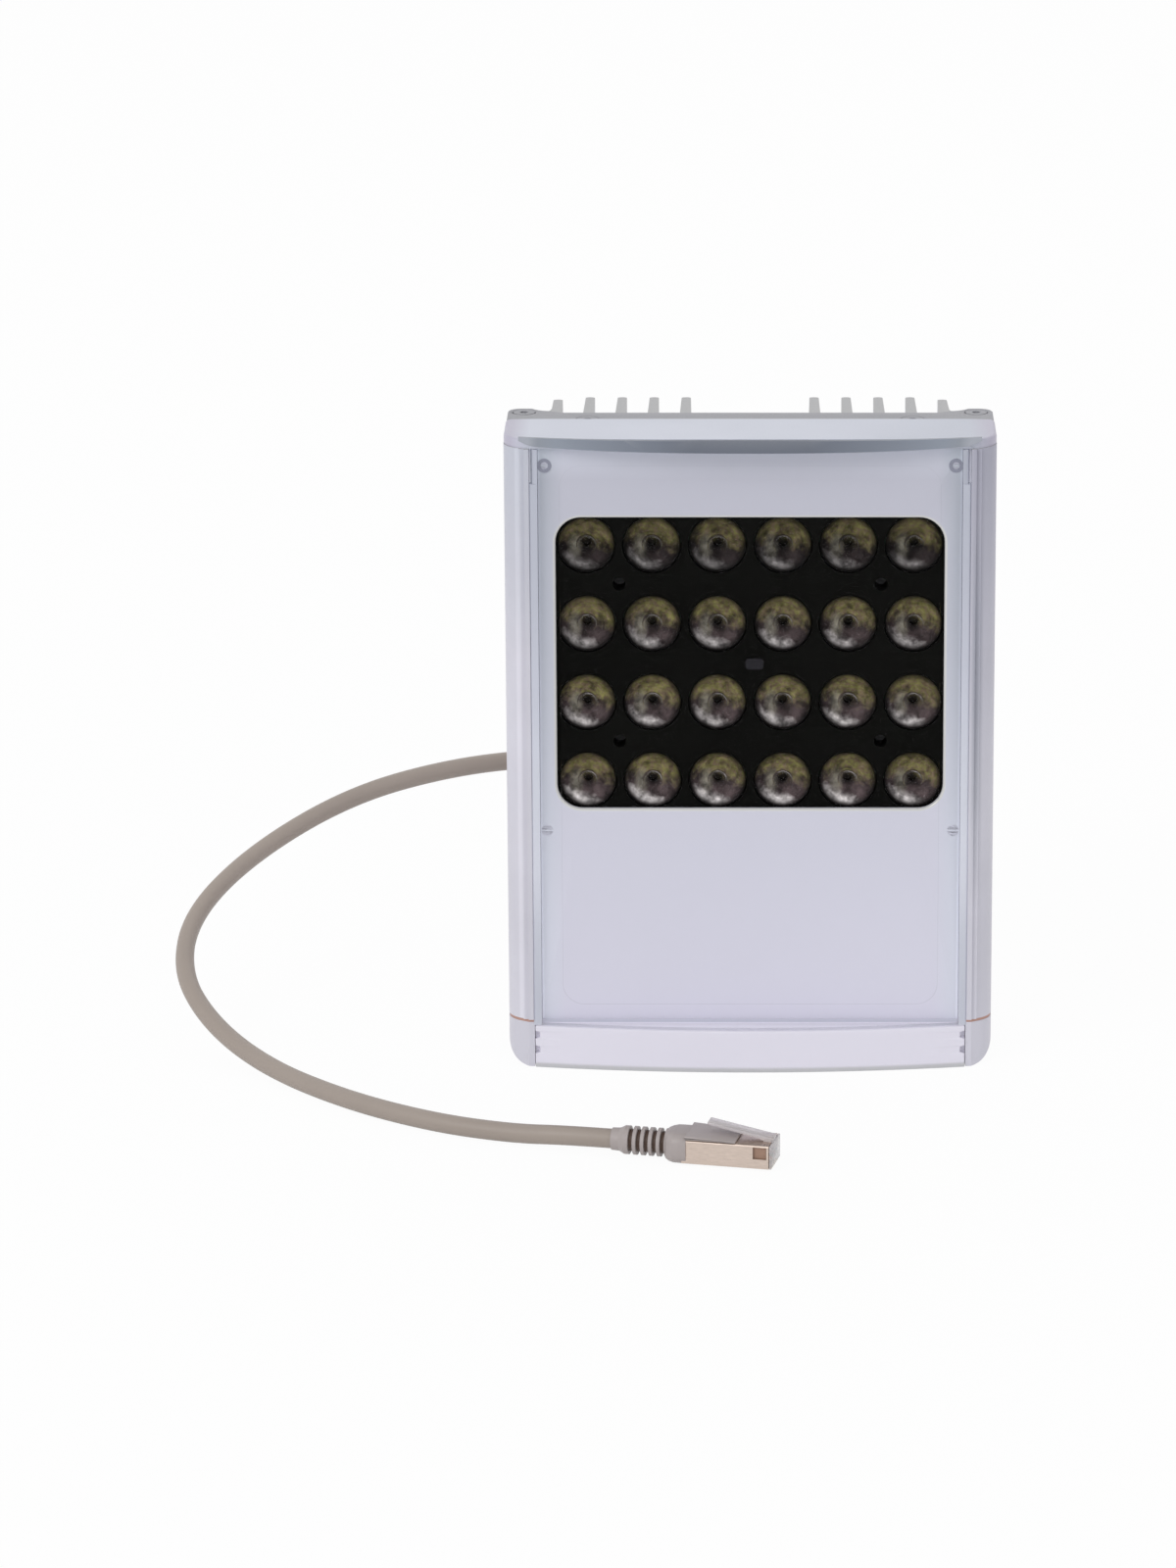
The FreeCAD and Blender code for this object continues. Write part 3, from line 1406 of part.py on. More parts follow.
def plug():
    half = v.plug_width / 2
    wall = v.plug_shell
    shell_outer = box("shell_outer", plug_start, -half, plug_rise, v.shell_length,
                      v.plug_width, v.plug_height)
    shell_inner = box("shell_inner", plug_start - 1.0, -half + wall, plug_rise + wall,
                      v.shell_length + 2.0, v.plug_width - 2 * wall, v.plug_height - 2 * wall)
    window = box("shell_window", plug_start + v.shell_length - v.shell_window, -half - 1.0,
                 plug_rise + v.plug_height / 2, v.shell_window - 1.0, v.plug_width + 2.0,
                 v.plug_height / 2 - 0.8)
    keep(set_down(cut("plug_shell", shell_outer, shell_inner, window)), "plug_shell")

    gap = wall + 0.05
    core = box("plug_core", plug_start, -half + gap, plug_rise + gap, v.plug_length,
               v.plug_width - 2 * gap, v.plug_height - 2 * gap)
    nose = box("plug_nose", plug_start + v.shell_length + 0.1, -half, plug_rise,
               v.plug_length - v.shell_length - 0.1, v.plug_width, v.plug_height)
    root = box("latch_root", plug_start + v.plug_length - v.latch_root, -v.latch_width / 2,
               plug_rise + v.plug_height - 0.5, v.latch_root, v.latch_width, v.latch_thickness + 0.5)
    tongue = doc.addObject("Part::Box", "latch_tongue")
    tongue.Placement = Placement(Vector(), Rotation(Vector(0, 1, 0), 180 + v.latch_angle.value))
    bind(tongue, "Length", v.latch_length)
    bind(tongue, "Width", v.latch_width * 0.7)
    bind(tongue, "Height", v.latch_thickness)
    place(tongue, plug_start + v.plug_length - v.latch_root / 2, -v.latch_width * 0.35,
          plug_rise + v.plug_height + v.latch_thickness)
    keep(set_down(fuse("plug_body", core, nose, root, tongue)), "plug_body")

    blade = box("contact_blade", plug_start + v.shell_length + 0.4, -v.contact_width / 2,
                plug_rise - v.contact_rise, v.plug_length - v.shell_length - 0.8,
                v.contact_width, v.contact_rise)
    doc.recompute()
    blades = [blade.Shape.translated(Vector(0, (step - (SIZES["contact_count"] - 1) / 2)
                                            * v.contact_pitch.value, 0))
              for step in range(SIZES["contact_count"])]
    contacts = doc.addObject("Part::Feature", "plug_contacts")
    contacts.Shape = Part.makeCompound(blades)
    keep(set_down(contacts), "plug_contacts")


bracket_inside = v.pivot_block_width / 2 + v.bracket_gap
bracket_outside = bracket_inside + v.bracket_sheet
washer_outside = bracket_outside + v.washer_thickness


def pivot_block():
    block = body("pivot_block")
    side = sketch_on(block, "block_side", "YZ_Plane", -(v.pivot_block_width / 2))
    foot = v.case_depth + v.pivot_block_foot
    low = v.pivot_height - v.pivot_block_height / 2
    high = v.pivot_height + v.pivot_block_height / 2
    radius = v.pivot_block_radius
    outline(side, [
        (v.case_depth, low),
        (foot, low),
        (foot, v.pivot_height - radius),
        (pivot_depth, v.pivot_height - radius, radius + 0.2),
        (pivot_depth, v.pivot_height + radius),
        (foot, v.pivot_height + radius),
        (foot, high),
        (v.case_depth, high),
    ])
    pad(block, side, v.pivot_block_width)
    bore = sketch_on(block, "pivot_bore", "YZ_Plane", -(v.pivot_block_width / 2 + 1.0))
    circle(bore, pivot_depth, v.pivot_height, v.pivot_bolt_radius + v.pivot_bolt_gap)
    pocket(block, bore, v.pivot_block_width + 2.0, reverse=True)
    holes = sketch_on(block, "block_screw_holes", "XZ_Plane", -(v.case_depth - 1.0))
    for side_sign in (-1, 1):
        circle(holes, 0, v.pivot_height + side_sign * v.pivot_screw_place, screw_hole)
    pocket(block, holes, v.pivot_block_foot + 2.0)
    return keep(block, "pivot_block")


def bracket():
    arm = body("bracket")
    side = sketch_on(arm, "bracket_side", "YZ_Plane", -bracket_outside)
    wall = pivot_depth + v.bracket_arm
    low = v.pivot_height - v.bracket_height / 2
    high = v.pivot_height + v.bracket_height / 2
    radius = v.bracket_end_radius
    straight = wall - v.bracket_straight
    outline(side, [
        (pivot_depth, v.pivot_height - radius),
        (straight, low),
        (wall, low),
        (wall, high),
        (straight, high),
        (pivot_depth, v.pivot_height + radius, radius + 0.2),
    ])
    blank = pad(arm, side, 2 * bracket_outside)
    reach = wall.value
    fillet(arm, blank, v.bracket_bend,
           lambda edge: all(abs(point.Point.y - reach) < 1e-4 for point in edge.Vertexes)
           and runs_along(edge, Vector(0, 0, 1)), "bracket_bends")
    throat = sketch_on(arm, "bracket_throat", "XY_Plane", low - 1.0)
    rectangle(throat, -bracket_inside, pivot_depth - radius - 2.0, bracket_inside,
              wall - v.bracket_sheet)
    pocket(arm, throat, v.bracket_height + 2.0, reverse=True)
    holes = sketch_on(arm, "bracket_wall_holes", "XZ_Plane", -(wall + 1.0))
    circle(holes, 0, v.pivot_height, v.bracket_hole_radius)
    for side_sign in (-1, 1):
        circle(holes, 0, v.pivot_height + side_sign * v.bracket_hole_spacing / 2,
               v.bracket_small_hole_radius)
    pocket(arm, holes, v.bracket_sheet + 2.0, reverse=True)
    pivot = sketch_on(arm, "bracket_pivot_holes", "YZ_Plane", -(bracket_outside + 1.0))
    circle(pivot, pivot_depth, v.pivot_height, v.pivot_bolt_radius + v.pivot_bolt_gap)
    pocket(arm, pivot, 2 * bracket_outside + 2.0, reverse=True)
    return keep(arm, "bracket")


def pivot_fasteners():
    y, z = pivot_depth, v.pivot_height
    head = hexagon("bolt_head", -washer_outside - v.bolt_head, y, z,
                   v.bolt_head_radius * 2, v.bolt_head, "+X")
    shank = rod("bolt_shank", -washer_outside, y, z, v.pivot_bolt_radius,
                2 * washer_outside + v.nut_height + 0.5, "+X")
    keep(fuse("pivot_bolt", head, shank), "pivot_bolt")
    ring = rod("washer_ring", bracket_outside, y, z, v.washer_radius, v.washer_thickness, "+X")
    hole = rod("washer_hole", bracket_outside - 1.0, y, z, v.pivot_bolt_radius + v.pivot_bolt_gap,
               v.washer_thickness + 2.0, "+X")
    washer = cut("washer", ring, hole)
    group("pivot_washers", washer, [(0, 0, 0), (-bracket_outside - washer_outside, 0, 0)])
    nut = hexagon("nut_hex", washer_outside, y, z, v.nut_radius * 2, v.nut_height, "+X")
    nut_hole = rod("nut_hole", washer_outside - 1.0, y, z, v.pivot_bolt_radius + 0.02,
                   v.nut_height + 2.0, "+X")
    keep(cut("pivot_nut", nut, nut_hole), "pivot_nut")


def build():
    for make in (heat_sink, top_cap, top_cap_seal, bottom_cap, access_cover, seam_seal,
                 front_window, window_top_seal, window_seal, lens_insert, mask_plate,
                 optic_tray, lenses, lamp_board, lamps, light_sensor, driver_electronics,
                 fasteners, cable_gland, leads, cable_boot, plug, pivot_block, bracket,
                 pivot_fasteners):
        make()


build()
doc.recompute()
failed = [item.Name for item in doc.Objects if {"Invalid", "Error"} & set(item.State)]
if failed:
    raise RuntimeError(f"features that failed: {failed}")
os.makedirs("parts", exist_ok=True)
for made in PARTS:
    shape = made.Shape
    if shape.isNull() or not shape.isValid():
        raise RuntimeError(f"{made.Label}: no valid solid")
    print(made.Label, len(shape.Solids), round(shape.Volume / 1000, 3))
    shape.exportStep(f"parts/{made.Label}.step")
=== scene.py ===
import math

import bmesh
import bpy
from mathutils import Matrix, Vector


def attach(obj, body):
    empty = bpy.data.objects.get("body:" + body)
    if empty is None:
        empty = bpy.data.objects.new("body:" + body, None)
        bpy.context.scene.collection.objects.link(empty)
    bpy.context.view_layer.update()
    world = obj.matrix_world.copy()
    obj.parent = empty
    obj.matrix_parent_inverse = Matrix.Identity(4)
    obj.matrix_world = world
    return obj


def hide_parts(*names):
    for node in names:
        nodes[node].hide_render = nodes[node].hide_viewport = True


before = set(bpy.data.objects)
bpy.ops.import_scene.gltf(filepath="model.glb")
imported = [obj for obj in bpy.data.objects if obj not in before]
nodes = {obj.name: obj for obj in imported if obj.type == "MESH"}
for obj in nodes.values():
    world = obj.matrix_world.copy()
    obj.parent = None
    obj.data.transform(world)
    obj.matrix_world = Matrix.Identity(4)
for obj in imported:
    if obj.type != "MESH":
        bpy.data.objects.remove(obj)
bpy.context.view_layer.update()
scene = bpy.context.scene

mm = 0.001  # pieces are drawn in millimetres and brought to metres when they are finished
white = (1.0, 1.0, 1.0)


# camera: a little above the case, for a frame of 1200 x 1600
viewSetup = {
    "place": (0.0, -1.738, 0.5884),
    "tilt": 74.0,
    "lens": 150.3,
    "shiftX": -0.1034,
    "shiftY": -0.0168,
}


def addCamera():
    data = bpy.data.cameras.new("view")
    data.lens = viewSetup["lens"]
    data.sensor_width = 36.0
    data.shift_x = viewSetup["shiftX"]
    data.shift_y = viewSetup["shiftY"]
    data.clip_end = 20.0
    camera = bpy.data.objects.new("view", data)
    camera.location = viewSetup["place"]
    camera.rotation_euler = (math.radians(viewSetup["tilt"]), 0.0, 0.0)
    scene.collection.objects.link(camera)
    scene.camera = camera


addCamera()
print("camera set")


# materials

def added(tree, kind):
    return tree.nodes.new("ShaderNode" + kind)


def newShader(name):
    material = bpy.data.materials.new(name)
    material.use_nodes = True
    tree = material.node_tree
    tree.nodes.clear()
    out = added(tree, "OutputMaterial")
    shader = added(tree, "BsdfPrincipled")
    tree.links.new(shader.outputs["BSDF"], out.inputs["Surface"])
    return material, tree, shader, out


def coordinates(tree, scale=(1.0, 1.0, 1.0), source="Object"):
    coords = added(tree, "TexCoord")
    mapping = added(tree, "Mapping")
    mapping.inputs["Scale"].default_value = scale
    tree.links.new(coords.outputs[source], mapping.inputs["Vector"])
    return mapping.outputs["Vector"]


def noise(tree, place, scale, detail=3.0, rough=0.5):
    node = added(tree, "TexNoise")
    node.inputs["Scale"].default_value = scale
    node.inputs["Detail"].default_value = detail
    node.inputs["Roughness"].default_value = rough
    tree.links.new(place, node.inputs["Vector"])
    return node.outputs["Fac"]


def ramp(tree, value, stops):
    node = added(tree, "ValToRGB")
    while len(node.color_ramp.elements) < len(stops):
        node.color_ramp.elements.new(0.5)
    for element, (spot, color) in zip(node.color_ramp.elements, stops):
        element.position = spot
        element.color = (*color, 1.0)
    tree.links.new(value, node.inputs["Fac"])
    return node.outputs["Color"]


def span(tree, value, low, high, outLow=0.0, outHigh=1.0):
    node = added(tree, "MapRange")
    node.inputs["From Min"].default_value = low
    node.inputs["From Max"].default_value = high
    node.inputs["To Min"].default_value = outLow
    node.inputs["To Max"].default_value = outHigh
    tree.links.new(value, node.inputs["Value"])
    return node.outputs["Result"]


def blendOf(tree, *terms):
    # the sum of each value times its share
    total = None
    for value, share in terms:
        node = added(tree, "Math")
        node.operation = "MULTIPLY_ADD"
        node.inputs[1].default_value = share
        node.inputs[2].default_value = 0.0
        tree.links.new(value, node.inputs[0])
        if total:
            tree.links.new(total, node.inputs[2])
        total = node.outputs[0]
    return total


def mixed(tree, amount, first, second, kind="MIX"):
    # first where amount is 0, second where it is 1; each is a colour or a socket
    node = added(tree, "Mix")
    node.data_type = "RGBA"
    node.blend_type = kind
    for source, spot in ((amount, 0), (first, 6), (second, 7)):
        if isinstance(source, bpy.types.NodeSocket):
            tree.links.new(source, node.inputs[spot])
        elif spot:
            node.inputs[spot].default_value = (*source, 1.0)
        else:
            node.inputs[spot].default_value = source
    return node.outputs[2]


def parts(tree, place):
    split = added(tree, "SeparateXYZ")
    tree.links.new(place, split.inputs["Vector"])
    return split


def farFromMiddle(tree, place):
    # how far a point lies from the case's middle plane
    split = parts(tree, place)
    away = added(tree, "Math")
    away.operation = "ABSOLUTE"
    tree.links.new(split.outputs["X"], away.inputs[0])
    return away.outputs[0], split.outputs["Z"]


def both(tree, first, second):
    return mixed(tree, 1.0, first, second, "MULTIPLY")


def washed(tree, paint, amount, wash):
    # paint times wash, as far as amount goes
    return both(tree, paint, mixed(tree, amount, white, wash))


def bump(tree, shader, height, strength, distance):
    node = added(tree, "Bump")
    node.inputs["Strength"].default_value = strength
    node.inputs["Distance"].default_value = distance
    tree.links.new(height, node.inputs["Height"])
    tree.links.new(node.outputs["Normal"], shader.inputs["Normal"])


def shade(color, amount):
    return tuple(min(1.0, part * amount) for part in color)


def grained(name, color, rough, grain, height, wash=0.04, specular=0.5):
    # a moulded or coated surface: slow colour drift, fine grain in its gloss and its height
    material, tree, shader, _ = newShader(name)
    place = coordinates(tree)
    drift = noise(tree, place, 22.0)
    fine = noise(tree, place, grain, 4.0, 0.6)
    tint = ramp(tree, drift, [(0.3, shade(color, 1.0 - wash)), (0.7, shade(color, 1.0 + wash))])
    tree.links.new(tint, shader.inputs["Base Color"])
    tree.links.new(span(tree, fine, 0.3, 0.7, rough - 0.05, rough + 0.07), shader.inputs["Roughness"])
    shader.inputs["Specular IOR Level"].default_value = specular
    bump(tree, shader, fine, 0.35, height)
    return material


def zoned(name, rough, paint, specular=0.5):
    # a grained finish whose colour changes across the case: paint(tree, away, height, drift) gives it
    material, tree, shader, _ = newShader(name)
    place = coordinates(tree)
    away, height = farFromMiddle(tree, place)
    fine = noise(tree, place, 1500.0, 4.0, 0.6)
    tree.links.new(paint(tree, away, height, noise(tree, place, 40.0)), shader.inputs["Base Color"])
    tree.links.new(span(tree, fine, 0.3, 0.7, rough - 0.05, rough + 0.07), shader.inputs["Roughness"])
    shader.inputs["Specular IOR Level"].default_value = specular
    bump(tree, shader, fine, 0.35, 0.00004)
    return material


def stripColors(tree, away, height, drift):
    # darker in the middle of the case, paler towards the ends
    wide = span(tree, blendOf(tree, (away, 1.0), (drift, 0.012)), 0.0, 0.0675)
    return ramp(tree, wide, [(0.31, (0.118, 0.135, 0.174)), (0.87, (0.263, 0.294, 0.350)),
                             (0.95, (0.27, 0.295, 0.34)), (1.0, (0.38, 0.40, 0.45))])


def maskPaintAndShade(tree, away, height, drift):
    # painted light and shade: brighter towards the foot, darker upwards under the cap; a pale blue tint
    # at the edges under the pane's sides, brighter low down and darker higher up, a brighter outer rim,
    # and a painted brightening along the top
    # painted shade: darker upwards, brighter towards the foot
    paint = ramp(tree, span(tree, height, 0.015, 0.175), [
        (0.0, (0.78, 0.77, 0.88)), (0.3, (0.68, 0.68, 0.78)),
        (0.55, (0.62, 0.62, 0.71)), (1.0, (0.545, 0.55, 0.63))])
    edge = span(tree, blendOf(tree, (away, 1.0), (drift, 0.001)), 0.0518, 0.0570)
    # painted light low down and painted shade higher up along the edges under the pane's sides
    edgeShading = ramp(tree, span(tree, height, 0.06, 0.13), [
        (0.0, (1.0, 1.04, 1.02)), (1.0, (0.84, 0.88, 0.87))])
    paint = washed(tree, paint, edge, edgeShading)
    # painted light on the outer rim beside the walls
    paint = washed(tree, paint, span(tree, away, 0.0573, 0.0578), (1.16, 1.16, 1.17))
    # painted light along the top, against the strip's shadow
    return washed(tree, paint, span(tree, height, 0.168, 0.1765), (1.25, 1.27, 1.25))


def coverPaintAndShade(tree, away, height, drift):
    # white, with painted shade along its lower edge and a darker painted shade line on the lip behind
    # its top
    return ramp(tree, span(tree, height, 0.0, 0.015), [
        (0.0, (0.54, 0.545, 0.56)), (0.06, (0.58, 0.58, 0.60)), (0.11, (0.83, 0.81, 0.90)),
        (0.815, (0.83, 0.81, 0.90)), (0.82, (0.56, 0.57, 0.66)), (0.87, (0.60, 0.61, 0.70))])


def capPaintAndShade(tree, away, height, drift):
    # painted shade: the rounded ends, which turn from the light, are darker, and the paint greys
    # towards the right end
    paint = ramp(tree, drift, [(0.3, (0.60, 0.625, 0.71)), (0.7, (0.64, 0.665, 0.755))])
    side = parts(tree, coordinates(tree)).outputs["X"]
    # painted shade: greyer towards the right end
    paint = washed(tree, paint, span(tree, side, 0.015, 0.060), (0.87, 0.88, 0.89))
    # painted shade on the rounded ends
    return mixed(tree, span(tree, away, 0.0605, 0.0655), paint, (0.50, 0.48, 0.58))


def wallPaintAndShade(tree, away, height, drift):
    # the pane's side walls, with painted shade and light: greyer upwards, palest below the middle
    paint = ramp(tree, drift, [(0.3, shade(wallColor, 0.97)), (0.7, shade(wallColor, 1.03))])
    tall = ramp(tree, span(tree, height, 0.018, 0.178), [
        (0.0, (0.92, 0.92, 0.93)), (0.12, white), (0.23, (1.14, 1.13, 1.12)),
        (0.39, (1.09, 1.09, 1.08)), (0.54, (1.0, 1.0, 1.01)), (0.70, (0.88, 0.88, 0.90)),
        (0.89, (0.80, 0.81, 0.83)), (1.0, (0.79, 0.80, 0.82))])
    return both(tree, paint, tall)


def extrusionPaintAndShade(tree, away, height, drift):
    # paint, with the bare cut at the top end; painted shade greys the right side upwards and the left
    # rail's front upwards, a painted reflection makes a pale line down the left rail and painted shade
    # a dark line down the right one
    paint = ramp(tree, drift, [(0.3, shade(caseColor, 0.96)), (0.7, shade(caseColor, 1.04))])
    split = parts(tree, coordinates(tree))
    side = split.outputs["X"]
    # painted shade: the right side greyer upwards
    corner = both(tree, span(tree, side, 0.050, 0.058), span(tree, height, 0.08, 0.175))
    paint = mixed(tree, corner, paint, (0.435, 0.435, 0.515))
    front = span(tree, split.outputs["Y"], 0.012, 0.009)
    left = both(tree, front, span(tree, side, -0.058, -0.059))
    # painted shade: the left rail's front greyer upwards
    tall = ramp(tree, span(tree, height, 0.1, 0.178), [
        (0.0, (1.02, 1.02, 1.02)), (0.25, white), (0.41, (0.94, 0.955, 0.96)),
        (0.59, (0.90, 0.92, 0.93)), (1.0, (0.825, 0.865, 0.88))])
    # painted reflection: a pale line down the left rail
    pale = ramp(tree, span(tree, side, -0.0655, -0.062), [
        (0.25, white), (0.4, (1.12, 1.12, 1.11)), (0.66, (1.12, 1.12, 1.11)),
        (0.82, (0.97, 0.97, 0.97))])
    paint = washed(tree, paint, left, both(tree, tall, pale))
    # painted shade: a dark line down the right rail's front
    line = both(tree, span(tree, side, 0.0606, 0.0616), span(tree, side, 0.0642, 0.0628))
    dark = ramp(tree, span(tree, height, 0.045, 0.178), [
        (0.0, white), (0.25, (0.72, 0.74, 0.75)), (0.45, (0.63, 0.65, 0.67)),
        (0.64, (0.68, 0.70, 0.72)), (0.86, (0.88, 0.88, 0.89)), (1.0, (0.92, 0.92, 0.93))])
    paint = washed(tree, paint, both(tree, front, line), dark)
    return mixed(tree, span(tree, height, 0.17736, 0.17739), paint, (0.42, 0.42, 0.425))


def brushed(name, color, rough, stretch):
    # drawn or turned metal, its scratches longer one way
    material, tree, shader, _ = newShader(name)
    lines = noise(tree, coordinates(tree, stretch), 900.0, 3.0, 0.6)
    tint = ramp(tree, lines, [(0.25, shade(color, 0.82)), (0.75, shade(color, 1.08))])
    tree.links.new(tint, shader.inputs["Base Color"])
    tree.links.new(span(tree, lines, 0.3, 0.7, rough - 0.07, rough + 0.1), shader.inputs["Roughness"])
    shader.inputs["Metallic"].default_value = 1.0
    bump(tree, shader, lines, 0.25, 0.00004)
    return material


def clearFinish(name, edgeColor, facing, clearTint=(1.0, 1.0, 1.0), gloss=0.06, haze=0.0):
    # clear moulding: see-through face on, pale where it is seen along its wall
    material, tree, shader, out = newShader(name)
    shader.inputs["Base Color"].default_value = (*edgeColor, 1.0)
    shader.inputs["Roughness"].default_value = gloss
    clear = added(tree, "BsdfTransparent")
    clear.inputs["Color"].default_value = (*clearTint, 1.0)
    glossy = added(tree, "BsdfGlossy")
    glossy.inputs["Roughness"].default_value = gloss
    weight = added(tree, "LayerWeight")
    weight.inputs["Blend"].default_value = facing
    sheen = added(tree, "MixShader")
    tree.links.new(span(tree, weight.outputs["Fresnel"], 0.06, 1.0, 0.0006, 0.7), sheen.inputs["Fac"])
    tree.links.new(clear.outputs["BSDF"], sheen.inputs[1])
    tree.links.new(glossy.outputs["BSDF"], sheen.inputs[2])
    body = added(tree, "MixShader")
    tree.links.new(span(tree, weight.outputs["Facing"], 0.72, 1.0, haze, 0.55), body.inputs["Fac"])
    tree.links.new(sheen.outputs["Shader"], body.inputs[1])
    tree.links.new(shader.outputs["BSDF"], body.inputs[2])
    tree.links.new(body.outputs["Shader"], out.inputs["Surface"])
    return material


caseColor = (0.665, 0.655, 0.725)
wallColor = (0.62, 0.64, 0.72)
finishes = {}
for make, looks in (
    (grained, {
        "casePaint": (caseColor, 0.42, 1500.0, 0.00006),
        "ringGrey": ((0.27, 0.28, 0.35), 0.5, 1500.0, 0.00002, 0.03),
        "maskRim": ((0.66, 0.66, 0.65), 0.22, 2600.0, 0.00002, 0.02, 1.0),
        "capEdge": ((0.312, 0.312, 0.338), 0.45, 1500.0, 0.00006),
        "trayBlack": ((0.004, 0.004, 0.0035), 0.6, 1800.0, 0.00005, 0.2, 0.02),
        "postGrey": ((0.72, 0.73, 0.84), 0.6, 1500.0, 0.00003, 0.04),
        "clipGrey": ((0.90, 0.91, 0.97), 0.45, 1500.0, 0.00003),
        "seamRubber": ((0.52, 0.31, 0.255), 0.6, 2000.0, 0.00008, 0.1),
        "sealRubber": ((0.03, 0.03, 0.032), 0.62, 2200.0, 0.0001, 0.1),
        "paleSeal": ((0.50, 0.51, 0.58), 0.5, 2200.0, 0.0001, 0.04),
        "glandNylon": ((0.30, 0.31, 0.33), 0.46, 1700.0, 0.00006),
        "boardGreen": ((0.02, 0.13, 0.06), 0.3, 1500.0, 0.00003, 0.1),
        "padGrey": ((0.3, 0.31, 0.33), 0.8, 2000.0, 0.0001),
        "partBlack": ((0.02, 0.02, 0.022), 0.5, 1500.0, 0.00005, 0.1),
        "tapeYellow": ((0.62, 0.45, 0.08), 0.4, 800.0, 0.00003, 0.06),
        "terminalGrey": ((0.18, 0.22, 0.20), 0.5, 1500.0, 0.00005),
        "jacket": ((0.362, 0.308, 0.268), 0.46, 1300.0, 0.00007, 0.05),
        "bootMoulding": ((0.425, 0.378, 0.366), 0.42, 1500.0, 0.00006, 0.05),
        "sensorBlack": ((0.022, 0.021, 0.025), 0.5, 1500.0, 0.00001, 0.1, 0.05),
        "sleeveGroove": ((0.075, 0.038, 0.022), 0.5, 1500.0, 0.00004, 0.2),
        "plugCore": ((0.34, 0.21, 0.15), 0.5, 1500.0, 0.00003, 0.1),
        "wireOrange": ((0.70, 0.28, 0.06), 0.4, 1500.0, 0.00002),
        "wireGreen": ((0.08, 0.30, 0.10), 0.4, 1500.0, 0.00002),
        "wireBlue": ((0.08, 0.16, 0.42), 0.4, 1500.0, 0.00002),
        "wireBrown": ((0.22, 0.10, 0.05), 0.4, 1500.0, 0.00002),
    }),
    (zoned, {
        "extrusion": (0.42, extrusionPaintAndShade),
        "capPaint": (0.36, capPaintAndShade),
        "coverWhite": (0.36, coverPaintAndShade),
        "maskGrey": (0.45, maskPaintAndShade),
        "darkSeal": (0.4, stripColors),
        "wallClear": (0.2, wallPaintAndShade),
    }),
    (brushed, {
        "steel": ((0.62, 0.62, 0.63), 0.3, (1.0, 1.0, 1.0)),
        "canMetal": ((0.75, 0.75, 0.77), 0.25, (6.0, 6.0, 0.4)),
        "plugShield": ((0.66, 0.55, 0.48), 0.34, (0.6, 0.6, 6.0)),
        "gold": ((0.85, 0.62, 0.25), 0.25, (1.0, 1.0, 1.0)),
    }),
    (clearFinish, {
        "window": ((0.60, 0.63, 0.72), 0.12),
        "sheet": ((0.66, 0.72, 0.80), 0.1),
        "opticClear": ((0.40, 0.39, 0.36), 0.25),
        "plugClear": ((0.84, 0.80, 0.80), 0.35, (0.90, 0.87, 0.87), 0.08, 0.52),
    }),
):
    for name, look in looks.items():
        finishes[name] = make(name, *look)
print("finishes made:", len(finishes))


# building helpers

def finishPiece(bm, name, body, material, replaced=(), angle=32.0):
    bmesh.ops.scale(bm, vec=(mm, mm, mm), verts=bm.verts)
    mesh = bpy.data.meshes.new(name)
    bm.to_mesh(mesh)
    bm.free()
    mesh.shade_smooth()
    mesh.set_sharp_from_angle(angle=math.radians(angle))
    piece = bpy.data.objects.new(name, mesh)
    scene.collection.objects.link(piece)
    mesh.materials.append(material)
    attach(piece, body)
    if replaced:
        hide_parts(*replaced)
    return piece


def turned(bm, profile, x, z, steps=32):
    # a closed line of (radius, depth) points, turned about the Y axis through x and z
    start = [bm.verts.new((x + radius, depth, z)) for radius, depth in profile]
    edges = [bm.edges.new(pair) for pair in zip(start, start[1:] + start[:1])]
    bmesh.ops.spin(bm, geom=start + edges, cent=(x, 0, z), axis=(0, 1, 0),
                   angle=math.tau, steps=steps, use_merge=True)


def cleaned(bm, gap=0.001):
    bmesh.ops.remove_doubles(bm, verts=bm.verts, dist=gap)
    bmesh.ops.dissolve_degenerate(bm, edges=bm.edges, dist=gap)
    bmesh.ops.recalc_face_normals(bm, faces=bm.faces)


def roundedFace(bm, x0, z0, x1, z1, depth, radius, steps=6):
    # a rounded rectangle that faces the camera
    corners = [bm.verts.new((x, depth, z)) for x, z in ((x0, z0), (x1, z0), (x1, z1), (x0, z1))]
    others = set(bm.faces)
    bm.faces.new(corners)
    bmesh.ops.bevel(bm, geom=corners, offset=radius, offset_type="OFFSET", segments=steps,
                    profile=0.5, affect="VERTICES", material=-1)
    return max((face for face in bm.faces if face not in others), key=lambda face: face.calc_area())


def roundedLoop(bm, *sizes):
    face = roundedFace(bm, *sizes)
    loop = list(face.edges)
    bmesh.ops.delete(bm, geom=[face], context="FACES_ONLY")
    return loop


def sharpEdges(bm, turn):
    return [edge for edge in bm.edges if len(edge.link_faces) == 2 and edge.calc_face_angle() > turn]


def softEdges(bm, edges, width, steps=2):
    made = bmesh.ops.bevel(bm, geom=list(edges), offset=width, offset_type="OFFSET", segments=steps,
                           profile=0.5, affect="EDGES", clamp_overlap=True, material=-1)
    return made["faces"]


def raised(bm, faces, move):
    made = bmesh.ops.extrude_face_region(bm, geom=list(faces))
    verts = [part for part in made["geom"] if isinstance(part, bmesh.types.BMVert)]
    bmesh.ops.translate(bm, vec=move, verts=verts)
    return verts


def cutAt(bm, place, normal):
    bmesh.ops.bisect_plane(bm, geom=list(bm.verts) + list(bm.edges) + list(bm.faces),
                           plane_co=place, plane_no=normal)


def block(bm, middle, sizes):
    return bmesh.ops.create_cube(bm, size=1.0, matrix=Matrix.Translation(middle)
                                 @ Matrix.Diagonal((*sizes, 1.0)))


